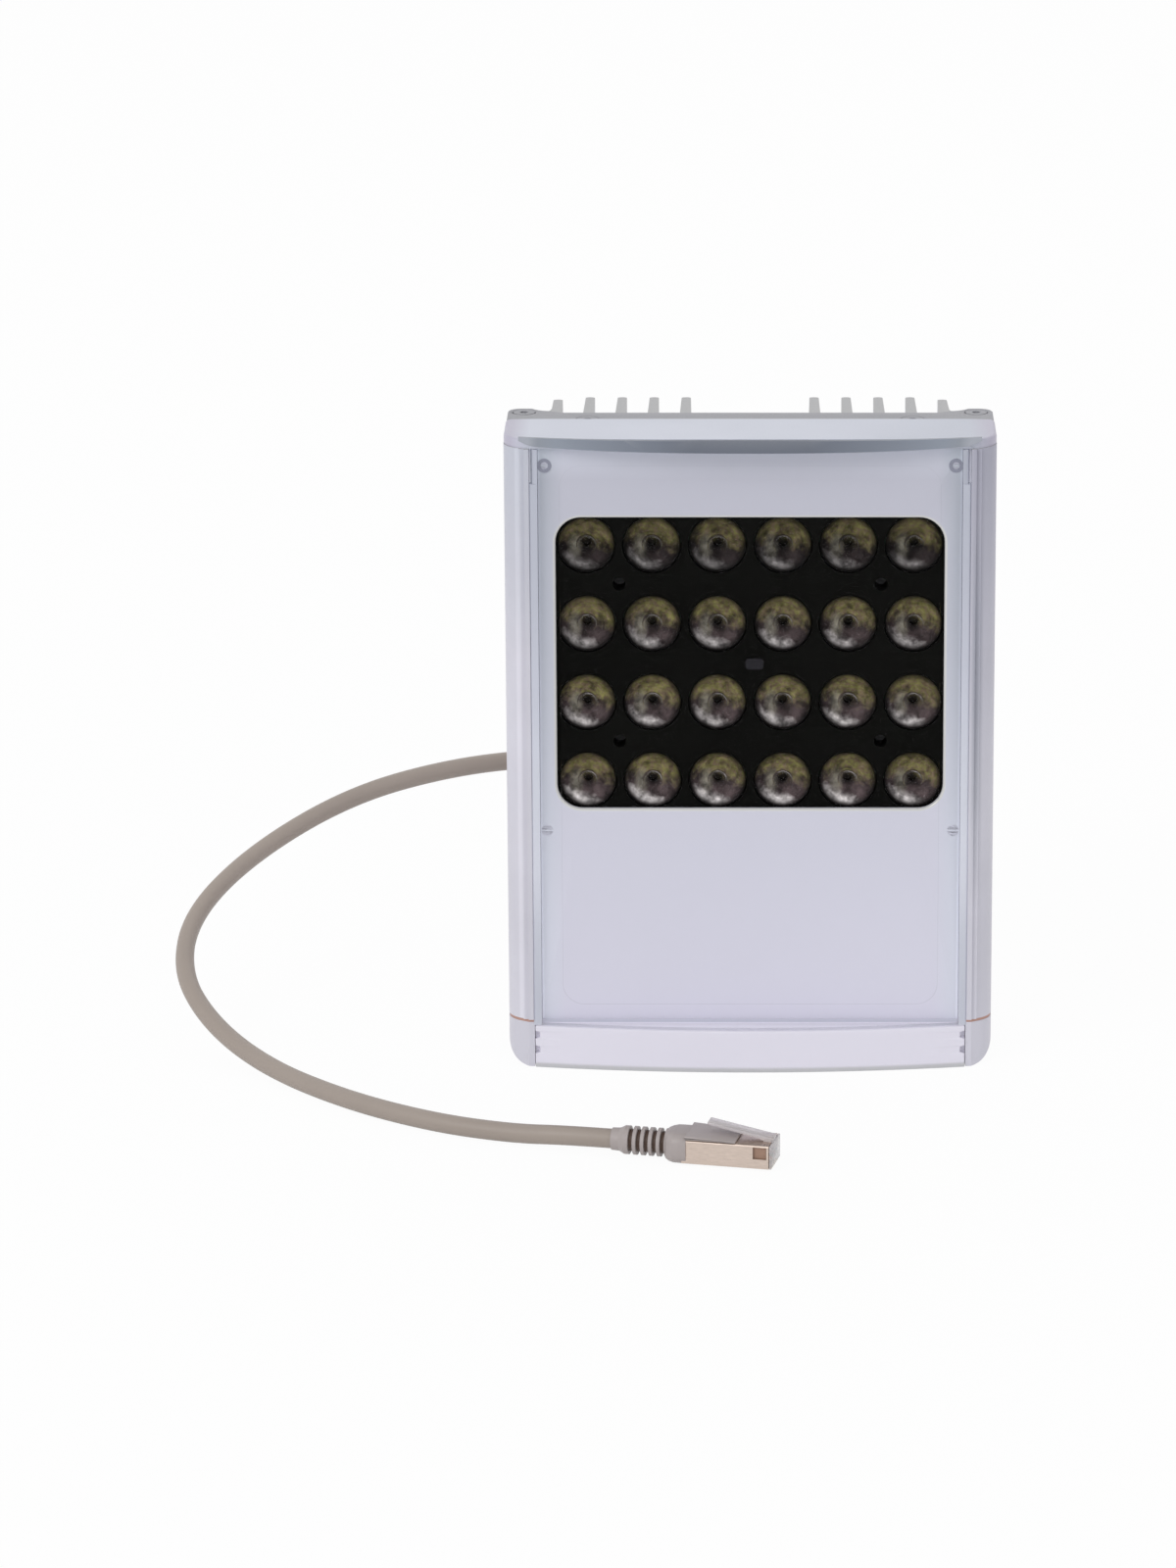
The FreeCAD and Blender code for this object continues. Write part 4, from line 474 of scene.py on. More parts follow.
def drawn(bm, points, height, smooth=20.0, stride=6.0):
    # a flat outline; a third number bends the line to the next point, and the bend's
    # centre is on the left when it is positive
    first = last = bm.verts.new((points[0][0], points[0][1], height))
    for here, there in zip(points, points[1:] + points[:1]):
        end = Vector((there[0], there[1], height))
        if len(here) == 3:
            chord = end - last.co
            radius = abs(here[2])
            side = math.copysign(1.0, here[2])
            rise = math.sqrt(max(radius ** 2 - chord.length_squared / 4, 0.0))
            centre = last.co + chord / 2 + Vector((-chord.y, chord.x, 0.0)).normalized() * rise * side
            turn = 2 * math.asin(min(1.0, chord.length / 2 / radius)) * side
            steps = max(2, math.ceil(abs(math.degrees(turn)) / smooth),
                        math.ceil(chord.length / stride))
            spun = bmesh.ops.spin(bm, geom=[last], cent=centre, axis=(0, 0, 1), angle=turn, steps=steps)
            last = next(part for part in spun["geom_last"] if isinstance(part, bmesh.types.BMVert))
        elif there is not points[0]:
            made = bm.verts.new(end)
            bm.edges.new((last, made))
            last = made
    if (last.co - first.co).length > 0.001:
        bm.edges.new((last, first))
    level = [vert for vert in bm.verts if abs(vert.co.z - height) < 1e-4]
    bmesh.ops.remove_doubles(bm, verts=level, dist=0.001)
    loose = [edge for edge in bm.edges if not edge.link_faces]
    return bmesh.ops.contextual_create(bm, geom=loose)["faces"][0]


def mirroredOutline(points):
    # the right half, drawn upwards in Y, then its mirror image
    back = []
    for index in range(len(points) - 1, -1, -1):
        x, y = points[index][:2]
        bend = points[index - 1][2:] if index else ()
        back.append((-x, y, *bend))
    return [*points, *back]


def seeThrough(piece):
    # lamps and bounced light reach what is behind a clear piece
    piece.visible_shadow = False
    piece.visible_diffuse = False
    piece.visible_glossy = False


def dressNode(node, material):
    mesh = nodes[node].data
    mesh.materials.clear()
    mesh.materials.append(material)


# the lead: its route in metres, as the part's source has it
leadRoute = [
    (0.0, 0.062, 0.061),
    (0.0, 0.083, 0.061),
    (-0.012, 0.1, 0.061),
    (-0.034, 0.107, 0.061),
    (-0.06, 0.104, 0.0605),
    (-0.088, 0.0995, 0.0585),
    (-0.117, 0.092, 0.052),
    (-0.144, 0.076, 0.0395),
    (-0.16, 0.054, 0.028),
    (-0.1615, 0.03, 0.018),
    (-0.1515, 0.0115, 0.0086),
    (-0.1345, -0.009, 0.0028),
    (-0.111, -0.0365, 0.0028),
    (-0.086, -0.0555, 0.0028),
    (-0.064, -0.0645, 0.0028),
    (-0.0497, -0.0706, 0.0045),
    (-0.037, -0.0734, 0.0045),
]
leadSetup = {"radius": 0.00265, "length": 0.406}


def addLead():
    data = bpy.data.curves.new("networkLead", "CURVE")
    data.dimensions = "3D"
    data.resolution_u = 16
    data.bevel_depth = leadSetup["radius"]
    data.bevel_resolution = 5
    data.use_fill_caps = True
    spline = data.splines.new("NURBS")
    spline.points.add(len(leadRoute) - 1)
    for point, spot in zip(spline.points, leadRoute):
        point.co = (*spot, 1.0)
    spline.order_u = 3
    spline.use_endpoint_u = True
    lead = bpy.data.objects.new("networkLead", data)
    scene.collection.objects.link(lead)
    data.materials.append(finishes["jacket"])
    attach(lead, "housing")
    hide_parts("network_lead")
    return lead


networkLead = addLead()
print("lead laid")


# the boot and plug, drawn along X about the boot's middle line and then set down
plugSetup = {
    "place": (-37.0, -73.4, 4.5), "yaw": -12.5,
    "ribRadius": 3.9, "grooveRadius": 3.0, "grooves": 5, "grooveFirst": 4.9, "groovePitch": 2.2,
    "grooveWide": 1.25, "collarRadius": 3.05, "neck": 15.6,
    "bootSections": [(15.3, 4.0, 3.8), (16.2, 5.2, 4.1), (17.6, 6.1, 4.3), (19.2, 6.3, 4.3),
                     (21.5, 6.3, 4.3)],
    "bootCorner": 2.4, "bootSoft": 0.25,
    "hoodEnd": 35.0, "hoodLow": 3.15, "hoodTop": 4.3, "hoodTip": 0.65, "hoodSlim": 0.93,
    "plugStart": 20.3, "shieldEnd": 44.2, "plugEnd": 44.9, "half": 5.85, "low": -3.6, "high": 3.0,
    "shieldThick": 0.3, "shieldCorner": 0.45,
    "windowFrom": 39.9, "windowTo": 43.6, "windowLow": -0.8, "windowHigh": 2.5,
    "noseGap": 0.1, "noseCorner": 0.4, "noseSoft": 0.3,
    "coreStart": 21.3, "coreEnd": 43.4, "coreHalf": 5.2, "coreInset": 0.5, "coreCorner": 0.3,
    "wires": 8, "wireRadius": 0.42, "wirePitch": 1.02, "wireHeight": -0.9, "wireFrom": 42.0,
    "wireTo": 44.5,
    "blade": (0.9, 0.35, 0.4), "bladeBack": 0.6, "bladeUp": 0.05, "bladeSoft": 0.06,
    "latchHalf": 2.2, "latchSoft": 0.2,
    "latch": [(44.7, 2.6), (44.7, 4.1), (43.3, 4.3), (27.0, 7.4), (26.6, 7.35), (26.7, 6.7),
              (39.8, 3.95), (41.8, 3.3), (42.3, 2.6)],
}


def sectionFace(bm, x, wide, tall, corner, steps=4):
    # a rounded rectangle that looks along the plug
    face = roundedFace(bm, -wide, -tall, wide, tall, x, corner, steps)
    bmesh.ops.rotate(bm, cent=(0, 0, 0), matrix=Matrix.Rotation(math.radians(-90), 3, "Z"),
                     verts=list(face.verts))
    return face


def bar(bm, start, end, half, low, high, corner):
    # a rounded block along the plug
    face = sectionFace(bm, start, half, (high - low) / 2, corner, 3)
    bmesh.ops.translate(bm, vec=(0.0, 0.0, (low + high) / 2), verts=list(face.verts))
    raised(bm, [face], (end - start, 0.0, 0.0))


def addPlug():
    setup = plugSetup
    seat = (Matrix.Translation(setup["place"])
            @ Matrix.Rotation(math.radians(setup["yaw"]), 4, "Z"))
    made = []

    def finish(bm, name, slot, material, replaced, angle=32.0):
        bmesh.ops.transform(bm, matrix=seat, verts=bm.verts)
        made.append(finishPiece(bm, name, "housing", finishes[material], [replaced], angle))
        return made[-1]

    # ribbed sleeve: its groove floors have a darker finish
    sleeve = bmesh.new()
    line = [(0.0, 0.05), (0.0, setup["collarRadius"]), (2.2, setup["collarRadius"] + 0.1),
            (3.6, setup["ribRadius"])]
    for step in range(setup["grooves"]):
        left = setup["grooveFirst"] + step * setup["groovePitch"]
        right = left + setup["grooveWide"]
        line += [(left, setup["ribRadius"]), (left + 0.05, setup["grooveRadius"]),
                 (right - 0.05, setup["grooveRadius"]), (right, setup["ribRadius"])]
    line += [(setup["neck"], setup["ribRadius"]), (setup["neck"], 0.05)]
    turned(sleeve, [(radius, x) for x, radius in line], 0.0, 0.0, 28)
    bmesh.ops.rotate(sleeve, cent=(0, 0, 0), matrix=Matrix.Rotation(math.radians(-90), 3, "Z"),
                     verts=sleeve.verts)
    cleaned(sleeve)
    core = setup["grooveRadius"] + 0.1
    for face in sleeve.faces:
        if face.calc_center_median().x > setup["grooveFirst"] and all(
                math.hypot(vert.co.y, vert.co.z) < core for vert in face.verts):
            face.material_index = 1
    finish(sleeve, "bootSleeve", "boot_grey", "bootMoulding", "cable_boot", 25.0)
    made[-1].data.materials.append(finishes["sleeveGroove"])

    # moulded body, and the hood that guards the latch
    boot = bmesh.new()
    first, *others = setup["bootSections"]
    face = sectionFace(boot, *first, setup["bootCorner"])
    wide, tall = first[1:]
    for x, nextWide, nextTall in others:
        verts = raised(boot, [face], (0.0, 0.0, 0.0))
        bmesh.ops.scale(boot, vec=(1.0, nextWide / wide, nextTall / tall), verts=verts)
        bmesh.ops.translate(boot, vec=(x - verts[0].co.x, 0.0, 0.0), verts=verts)
        face = next(part for part in boot.faces if all(vert in verts for vert in part.verts))
        wide, tall = nextWide, nextTall
    hoodMiddle = (setup["hoodLow"] + setup["hoodTop"]) / 2
    hood = sectionFace(boot, setup["bootSections"][-1][0] - 0.3, wide - 0.05,
                       (setup["hoodTop"] - setup["hoodLow"]) / 2, 0.5, 3)
    bmesh.ops.translate(boot, vec=(0.0, 0.0, hoodMiddle), verts=list(hood.verts))
    for vert in raised(boot, [hood], (setup["hoodEnd"] - hood.verts[0].co.x, 0.0, 0.0)):
        if vert.co.z > hoodMiddle:
            vert.co.z -= setup["hoodTip"]
        vert.co.y *= setup["hoodSlim"]
    cleaned(boot)
    softEdges(boot, sharpEdges(boot, 1.0), setup["bootSoft"])
    finish(boot, "bootBody", "boot_grey", "bootMoulding", "cable_boot", 40.0)

    # pressed shield: thin walls, a latch window in each side
    shield = bmesh.new()
    low, high = setup["low"], setup["high"]
    bar(shield, setup["plugStart"], setup["shieldEnd"], setup["half"], low, high, setup["shieldCorner"])
    bmesh.ops.delete(shield, geom=[part for part in shield.faces if abs(part.normal.x) > 0.9],
                     context="FACES_ONLY")
    for side in ("windowFrom", "windowTo"):
        cutAt(shield, (setup[side], 0.0, 0.0), (1, 0, 0))
    for side in ("windowLow", "windowHigh"):
        cutAt(shield, (0.0, 0.0, setup[side]), (0, 0, 1))
    openings = [part for part in shield.faces
                if setup["windowFrom"] < part.calc_center_median().x < setup["windowTo"]
                and setup["windowLow"] < part.calc_center_median().z < setup["windowHigh"]
                and abs(part.normal.y) > 0.9]
    bmesh.ops.delete(shield, geom=openings, context="FACES")
    cleaned(shield)
    bmesh.ops.solidify(shield, geom=list(shield.faces), thickness=setup["shieldThick"])
    finish(shield, "plugShield", "plug_metal", "plugShield", "plug_shell")

    # clear body, latch, conductors and contacts
    body = bmesh.new()
    bar(body, setup["shieldEnd"] + setup["noseGap"], setup["plugEnd"], setup["half"], low, high,
        setup["noseCorner"])
    cleaned(body)
    softEdges(body, sharpEdges(body, 1.2), setup["noseSoft"])
    finish(body, "plugNose", "plug_clear", "plugClear", "plug_body")
    latch = bmesh.new()
    outline = [latch.verts.new((x, -setup["latchHalf"], z)) for x, z in setup["latch"]]
    raised(latch, [latch.faces.new(outline)], (0.0, 2 * setup["latchHalf"], 0.0))
    cleaned(latch)
    softEdges(latch, sharpEdges(latch, 1.0), setup["latchSoft"])
    finish(latch, "plugLatch", "plug_clear", "plugClear", "plug_body")
    core = bmesh.new()
    bar(core, setup["coreStart"], setup["coreEnd"], setup["coreHalf"], low + setup["coreInset"],
        high - setup["coreInset"], setup["coreCorner"])
    cleaned(core)
    finish(core, "plugCore", "plug_clear", "plugCore", "plug_body")
    wires = bmesh.new()
    blades = bmesh.new()
    radius = setup["wireRadius"]
    wireMiddle = (setup["wireFrom"] + setup["wireTo"]) / 2
    for step in range(setup["wires"]):
        y = (step - (setup["wires"] - 1) / 2) * setup["wirePitch"]
        wire = bmesh.ops.create_cone(
            wires, cap_ends=True, segments=10, radius1=radius, radius2=radius,
            depth=setup["wireTo"] - setup["wireFrom"],
            matrix=Matrix.Translation((wireMiddle, y, setup["wireHeight"]))
            @ Matrix.Rotation(math.radians(90), 4, "Y"))
        for face in {face for vert in wire["verts"] for face in vert.link_faces}:
            face.material_index = step % 4
        blade = block(blades, (setup["plugEnd"] - setup["bladeBack"], y, low + setup["bladeUp"]),
                      setup["blade"])
        softEdges(blades, {edge for vert in blade["verts"] for edge in vert.link_edges},
                  setup["bladeSoft"], 1)
    piece = finish(wires, "plugWires", "plug_clear", "wireOrange", "plug_body")
    for name in ("wireBrown", "wireGreen", "wireBlue"):
        piece.data.materials.append(finishes[name])
    finish(blades, "plugBlades", "contact_gold", "gold", "plug_contacts")
    return made


# the 24 optics: a bright dish under a clear face, its dark eye in the middle
opticSetup = {
    "pitchAcross": 18.0, "pitchUp": 22.4, "columns": 6, "rows": 4, "middle": 115.8,
    "reach": 8.0,  # the dish's outer radius in its paint's own units
    "dish": [(7.75, 5.35), (7.75, 5.75), (7.3, 6.0), (6.2, 6.95), (4.9, 7.85), (3.4, 8.65),
             (2.1, 9.15), (1.35, 9.35), (1.2, 10.2), (0.05, 10.3),
             (0.05, 10.6), (1.5, 10.6), (2.4, 9.6), (5.3, 8.2), (6.7, 7.2), (7.95, 6.1), (7.95, 5.35)],
    "face": [(0.05, 6.9), (1.0, 6.75), (1.9, 6.2), (2.3, 5.6), (2.5, 5.45), (4.5, 5.3), (6.6, 5.32),
             (7.6, 5.45), (7.6, 5.62), (6.6, 5.55), (4.5, 5.55), (2.8, 5.7), (2.3, 6.5), (1.2, 7.1),
             (0.05, 7.2)],
}


def opticPlaces():
    setup = opticSetup
    for row in range(setup["rows"]):
        for column in range(setup["columns"]):
            yield ((column - (setup["columns"] - 1) / 2) * setup["pitchAcross"],
                   setup["middle"] + (row - (setup["rows"] - 1) / 2) * setup["pitchUp"])


def dishPaintedReflections():
    # satin reflector with painted reflections: olive above, dark below and in the eye, a pale crescent
    # at its foot and a pale streak beside the eye;
    # painted shade leaves the upper rows darker, so the lower rows are brighter
    material, tree, shader, _ = newShader("dish")
    uv = added(tree, "UVMap")
    uv.uv_map = "across"
    split = parts(tree, uv.outputs["UV"])
    u, v = split.outputs["X"], split.outputs["Y"]
    mottle = noise(tree, coordinates(tree), 380.0, 3.0, 0.6)

    def reach(scale, move):
        mapping = added(tree, "Mapping")
        mapping.inputs["Scale"].default_value = (*scale, 0.0)
        mapping.inputs["Location"].default_value = (*move, 0.0)
        length = added(tree, "VectorMath")
        length.operation = "LENGTH"
        tree.links.new(uv.outputs["UV"], mapping.inputs["Vector"])
        tree.links.new(mapping.outputs["Vector"], length.inputs[0])
        return length.outputs["Value"]

    def grey(value, stops):
        return ramp(tree, value, [(spot, (level,) * 3) for spot, level in stops])

    radius = reach((1.0, 1.0), (0.0, 0.0))
    # painted reflection: olive in the upper half, dark in the lower
    upper = span(tree, blendOf(tree, (v, 1.0), (u, 0.2), (mottle, 0.8)), 0.2, 0.75)
    # painted highlight: a pale streak beside the eye
    paintedStreak = grey(reach((3.4, 1.7), (1.35, 0.25)), [(0.1, 0.8), (1.0, 0.0)])
    # painted reflection: a pale crescent at the foot
    low = span(tree, blendOf(tree, (v, -0.9), (u, -0.4), (mottle, 0.5)), 0.7, 1.1)
    foot = both(tree, low, grey(radius, [(0.5, 0.0), (0.74, 1.0), (0.82, 1.0), (0.95, 0.0)]))
    patch = noise(tree, coordinates(tree), 900.0, 2.0, 0.6)
    olive = mixed(tree, span(tree, patch, 0.4, 0.6), (0.203, 0.189, 0.070), (0.182, 0.135, 0.086))
    # painted shade: the upper rows darker
    down = span(tree, parts(tree, coordinates(tree)).outputs["Z"], 0.1494, 0.0822)
    lowLight = grey(down, [(0.0, 0.215), (0.33, 0.64), (0.67, 0.84), (1.0, 1.0)])
    highLight = grey(down, [(0.0, 0.66), (0.33, 0.92), (0.67, 1.0), (1.0, 0.96)])
    tint = mixed(tree, upper, both(tree, lowLight, (0.068, 0.050, 0.052)), both(tree, highLight, olive))
    tint = mixed(tree, paintedStreak, tint, both(tree, highLight, (0.26, 0.245, 0.20)))
    tint = mixed(tree, foot, tint, both(tree, lowLight, (0.74, 0.70, 0.695)))
    eye = grey(reach((1.0, 1.0), (-0.02, 0.1)), [(0.09, 0.07), (0.35, 1.0)])
    rim = grey(radius, [(0.74, 1.0), (0.97, 0.02)])
    for layer in (eye, rim, grey(mottle, [(0.32, 0.4), (0.68, 1.5)])):
        tint = both(tree, tint, layer)
    tree.links.new(tint, shader.inputs["Base Color"])
    tree.links.new(span(tree, mottle, 0.3, 0.7, 0.3, 0.5), shader.inputs["Roughness"])
    shader.inputs["Metallic"].default_value = 0.35
    shader.inputs["Specular IOR Level"].default_value = 0.06
    bump(tree, shader, mottle, 0.6, 0.0006)
    return material


def addOptics():
    dishes = bmesh.new()
    faces = bmesh.new()
    for x, z in opticPlaces():
        turned(dishes, opticSetup["dish"], x, z)
        turned(faces, opticSetup["face"], x, z, 24)
    cleaned(dishes, 0.0001)
    cleaned(faces, 0.0001)
    layer = dishes.loops.layers.uv.new("across")
    spots = list(opticPlaces())
    reach = opticSetup["reach"]
    for face in dishes.faces:
        middle = face.calc_center_median()
        x, z = min(spots, key=lambda spot: (spot[0] - middle.x) ** 2 + (spot[1] - middle.z) ** 2)
        for loop in face.loops:
            loop[layer].uv = ((loop.vert.co.x - x) / reach, (loop.vert.co.z - z) / reach)
    finishPiece(dishes, "opticDishes", "housing", dishPaintedReflections(), ["collimator_lenses"])
    seeThrough(finishPiece(faces, "opticFaces", "housing", finishes["opticClear"],
                           ["collimator_lenses"]))


plugPieces = addPlug()
print("plug made")
addOptics()
print("optics made")

# the mask round the optics, with its chamfered opening and the rings at its upper corners
maskSetup = {
    "front": 3.6, "thick": 1.2, "half": 58.12, "low": 12.7, "high": 177.35, "corner": 0.6,
    "rings": ((-56.3, 172.0), (56.3, 172.0)),
    "ring": [(1.05, 3.6), (1.05, 3.42), (1.95, 3.42), (1.95, 3.6), (1.05, 3.6)],
    "openHalf": 53.4, "openLow": 74.3, "openHigh": 157.3, "openCorner": 7.0, "chamfer": 0.7,
    "edgeSoft": 0.25, "near": 0.001,
}


def addMask():
    setup = maskSetup
    bm = bmesh.new()
    outer = roundedLoop(bm, -setup["half"], setup["low"], setup["half"], setup["high"],
                        setup["front"], setup["corner"], 3)
    inner = roundedLoop(bm, -setup["openHalf"], setup["openLow"], setup["openHalf"],
                        setup["openHigh"], setup["front"], setup["openCorner"], 10)
    filled = bmesh.ops.triangle_fill(bm, edges=outer + inner, use_beauty=True, use_dissolve=False)
    faces = [part for part in filled["geom"] if isinstance(part, bmesh.types.BMFace)]
    raised(bm, faces, (0.0, setup["thick"], 0.0))
    cleaned(bm)

    def frontEdges():
        # the edges where the front face turns back
        return [edge for edge in bm.edges
                if all(abs(vert.co.y - setup["front"]) < setup["near"] for vert in edge.verts)
                and len({round(face.normal.y, 1) for face in edge.link_faces}) > 1]

    near = 10 * setup["near"]
    rim = [edge for edge in frontEdges()
           if all(abs(vert.co.x) < setup["openHalf"] + near
                  and setup["openLow"] - near < vert.co.z < setup["openHigh"] + near
                  for vert in edge.verts)]
    for face in softEdges(bm, rim, setup["chamfer"], 3):
        face.material_index = 1
    outside = [edge for edge in frontEdges() if abs(edge.verts[0].co.x) > setup["openHalf"] + 1.0]
    softEdges(bm, outside, setup["edgeSoft"])
    piece = finishPiece(bm, "frontMask", "housing", finishes["maskGrey"], ["mask_plate"])
    piece.data.materials.append(finishes["maskRim"])
    rings = bmesh.new()
    for x, z in setup["rings"]:
        turned(rings, setup["ring"], x, z)
    cleaned(rings)
    finishPiece(rings, "maskRings", "housing", finishes["ringGrey"], ["mask_plate"])


addMask()
print("mask made")

# the clear front: bulged pane, its side walls and clips, the flat sheet and the strip over it
frontSetup = {
    "half": 60.42, "corner": 3.0, "bulge": 5.0, "thick": 2.6, "wall": 2.25, "back": 8.7,
    "wallFront": 0.1, "wallSoft": 0.6,
    "low": 12.25, "high": 177.25,
    "sheetHalf": 52.3, "sheetLow": 17.5, "sheetHigh": 172.0, "sheetCorner": 6.0,
    "sheetFront": 2.65, "sheetThick": 0.85,
    "stripLow": 177.4, "stripHigh": 179.85, "stripBack": 1.2, "stripHalf": 63.2, "stripEnd": 0.35,
    "stripCuts": (26.0, 38.0, 45.0, 50.0, 54.0, 57.0, 59.5, 61.5), "stripRise": 0.95,
    "stripTaper": 58.0, "stripSlim": 0.55, "stripCrown": 0.7,
    "clipLow": 167.6, "clipWide": 0.45, "clipFront": 2.2, "clipBack": 8.6, "clipSlant": 0.3,
    "slimIn": 0.9, "slimFront": 0.7,
    "edgeSoft": 0.2,
}


def crownRadius(half, rise):
    return (half ** 2 + rise ** 2) / (2 * rise)


def addFront():
    setup = frontSetup
    crownHalf = setup["half"] - setup["corner"]
    outerRadius = crownRadius(crownHalf, setup["bulge"])
    innerHalf = setup["half"] - setup["wall"]
    innerRadius = outerRadius - setup["thick"]
    innerSide = (setup["thick"] - setup["bulge"] + innerRadius
                 - math.sqrt(innerRadius ** 2 - innerHalf ** 2))
    wallFront = setup["wallFront"]
    wallSoft = setup["wallSoft"]
    height = setup["high"] - setup["low"]

    bm = bmesh.new()
    points = mirroredOutline([(innerHalf, innerSide), (innerHalf, wallFront),
                              (crownHalf, 0.0, -outerRadius)])
    points[-1] = (*points[-1][:2], innerRadius)
    raised(bm, [drawn(bm, points, setup["low"], 15.0)], (0.0, 0.0, height))
    cleaned(bm)
    seeThrough(finishPiece(bm, "frontWindow", "housing", finishes["window"],
                           ["front_window"]))

    walls = bmesh.new()
    clips = bmesh.new()
    clipIn = setup["half"] - setup["clipWide"]
    for side in (1.0, -1.0):
        def across(points):
            return [(side * x, y, *(side * bend for bend in rest)) for x, y, *rest in points]
        full = [(innerHalf, wallFront), (innerHalf, setup["back"]), (setup["half"], setup["back"]),
                (setup["half"], wallFront + wallSoft, -wallSoft), (setup["half"] - wallSoft, wallFront)]
        raised(walls, [drawn(walls, across(full), setup["low"], 12.0)],
               (0.0, 0.0, setup["clipLow"] - setup["low"]))
        slim = [(innerHalf, wallFront), (innerHalf, setup["back"]), (clipIn, setup["back"]),
                (clipIn, setup["clipFront"]), (setup["half"] - setup["slimIn"], setup["slimFront"])]
        raised(walls, [drawn(walls, across(slim), setup["clipLow"])],
               (0.0, 0.0, setup["high"] - setup["clipLow"]))
        clip = [(clipIn, setup["clipFront"]), (clipIn, setup["clipBack"]),
                (setup["half"], setup["clipBack"]),
                (setup["half"], setup["clipFront"] + setup["clipSlant"])]
        raised(clips, [drawn(clips, across(clip), setup["clipLow"])],
               (0.0, 0.0, setup["high"] - setup["clipLow"]))
    bmesh.ops.recalc_face_normals(walls, faces=walls.faces)
    bmesh.ops.recalc_face_normals(clips, faces=clips.faces)
    seeThrough(finishPiece(walls, "windowWalls", "housing", finishes["wallClear"],
                           ["front_window"]))
    finishPiece(clips, "windowClips", "housing", finishes["clipGrey"], ["front_window"])

    bm = bmesh.new()
    sheet = roundedFace(bm, -setup["sheetHalf"], setup["sheetLow"], setup["sheetHalf"],
                        setup["sheetHigh"], setup["sheetFront"], setup["sheetCorner"], 8)
    raised(bm, [sheet], (0.0, setup["sheetThick"], 0.0))
    cleaned(bm)
    softEdges(bm, sharpEdges(bm, 1.0), setup["edgeSoft"])
    seeThrough(finishPiece(bm, "clearSheet", "housing", finishes["sheet"],
                           ["lens_insert"]))

    bm = bmesh.new()
    low = drawn(bm, mirroredOutline([
        (setup["stripHalf"], setup["stripBack"]), (setup["stripHalf"], setup["stripEnd"]),
        (crownHalf, 0.0, -outerRadius)]), setup["stripLow"], 15.0)
    top = raised(bm, [low], (0.0, 0.0, setup["stripHigh"] - setup["stripLow"]))
    for vert in top:
        if vert.co.y < 0.0:
            vert.co.y *= setup["stripCrown"] / setup["bulge"]
    cleaned(bm)
    softEdges(bm, [edge for edge in sharpEdges(bm, 0.7)
                   if all(vert.co.z > setup["stripHigh"] - 0.01 for vert in edge.verts)],
              setup["edgeSoft"])
    # the strip's ends rise towards the cap's rounded corners
    for spot in setup["stripCuts"]:
        for side in (-1.0, 1.0):
            cutAt(bm, (side * spot, 0.0, 0.0), (1.0, 0.0, 0.0))
    taperLong = setup["stripHalf"] - setup["stripTaper"]
    for vert in bm.verts:
        taper = max(abs(vert.co.x) - setup["stripTaper"], 0.0) / taperLong
        vert.co.z += setup["stripSlim"] * taper ** 2 * (setup["stripHigh"] - vert.co.z)
        vert.co.z += setup["stripRise"] * (abs(vert.co.x) / setup["stripHalf"]) ** 4
    finishPiece(bm, "topStrip", "housing", finishes["darkSeal"], ["window_top_seal"])


addFront()
print("clear front made")

# the access cover: two notches in each side edge, a foot, and the lip behind its top
coverSetup = {
    "half": 60.0, "soft": 0.4, "back": 3.0, "top": 12.0, "topSoft": 0.4,
    "notches": ((3.9, 6.3), (8.2, 10.6)), "notchDeep": 1.25, "notchSoft": 0.4,
    "blocks": [((-58.0, 2.85, 11.9), (58.0, 3.1, 13.06)), ((-50.0, 2.9, 0.0), (50.0, 16.0, 2.0)),
               ((-60.0, 1.7, 3.0), (-58.0, 3.0, 11.4)), ((58.0, 1.7, 3.0), (60.0, 3.0, 11.4))],
}


def addCover():
    setup = coverSetup
    crownHalf = setup["half"] - setup["soft"]
    bm = bmesh.new()
    face = drawn(bm, mirroredOutline([
        (setup["half"], setup["back"]), (setup["half"], setup["soft"], -setup["soft"]),
        (crownHalf, 0.0, -crownRadius(crownHalf, frontSetup["bulge"]))]), 0.0, 15.0)
    levels = []
    for low, high in setup["notches"]:
        levels += [(low, 0.0), (low + setup["notchSoft"], setup["notchDeep"]),
                   (high - setup["notchSoft"], setup["notchDeep"]), (high, 0.0)]
    height, inset = 0.0, 0.0
    for nextHeight, nextInset in [*levels, (setup["top"], 0.0)]:
        verts = raised(bm, [face], (0.0, 0.0, nextHeight - height))
        for vert in verts:
            if abs(vert.co.x) > crownHalf - inset - 0.01:
                vert.co.x -= math.copysign(1.0, vert.co.x) * (nextInset - inset)
        face = next(part for part in bm.faces if all(vert in verts for vert in part.verts))
        height, inset = nextHeight, nextInset
    cleaned(bm)
    softEdges(bm, [edge for edge in sharpEdges(bm, 1.0)
                   if all(vert.co.z > setup["top"] - 0.01 for vert in edge.verts)], setup["topSoft"], 3)
    for low, high in setup["blocks"]:
        low, high = Vector(low), Vector(high)
        block(bm, (low + high) / 2, high - low)
    finishPiece(bm, "accessCover", "housing", finishes["coverWhite"], ["access_cover"])


addCover()
print("cover made")

# the top cap: a bright plateau with rounded shoulders and the greyer ledge behind it
capSetup = {
    "under": 177.4, "ledgeTop": 178.8, "top": 180.0,
    "plateau": [(61.85, 1.0), (63.25, 1.75, 8.5), (67.5, 9.0), (67.5, 24.0, 2.0), (65.5, 26.0)],
    "ledge": [(67.45, 22.0), (67.45, 40.5, 3.5), (63.95, 44.0), (60.65, 44.0, -6.5), (55.65, 41.0),
              (52.35, 39.0)],
    "seats": ((62.9, 39.4), (45.0, 31.0)), "seatRadius": 3.2,
    "shoulder": 2.3, "shoulderFrom": 62.0, "shoulderOver": 4.0, "frontSoft": 0.3,
    "ledgeSoft": 0.5, "ledgeSoftFrom": 22.5,
}


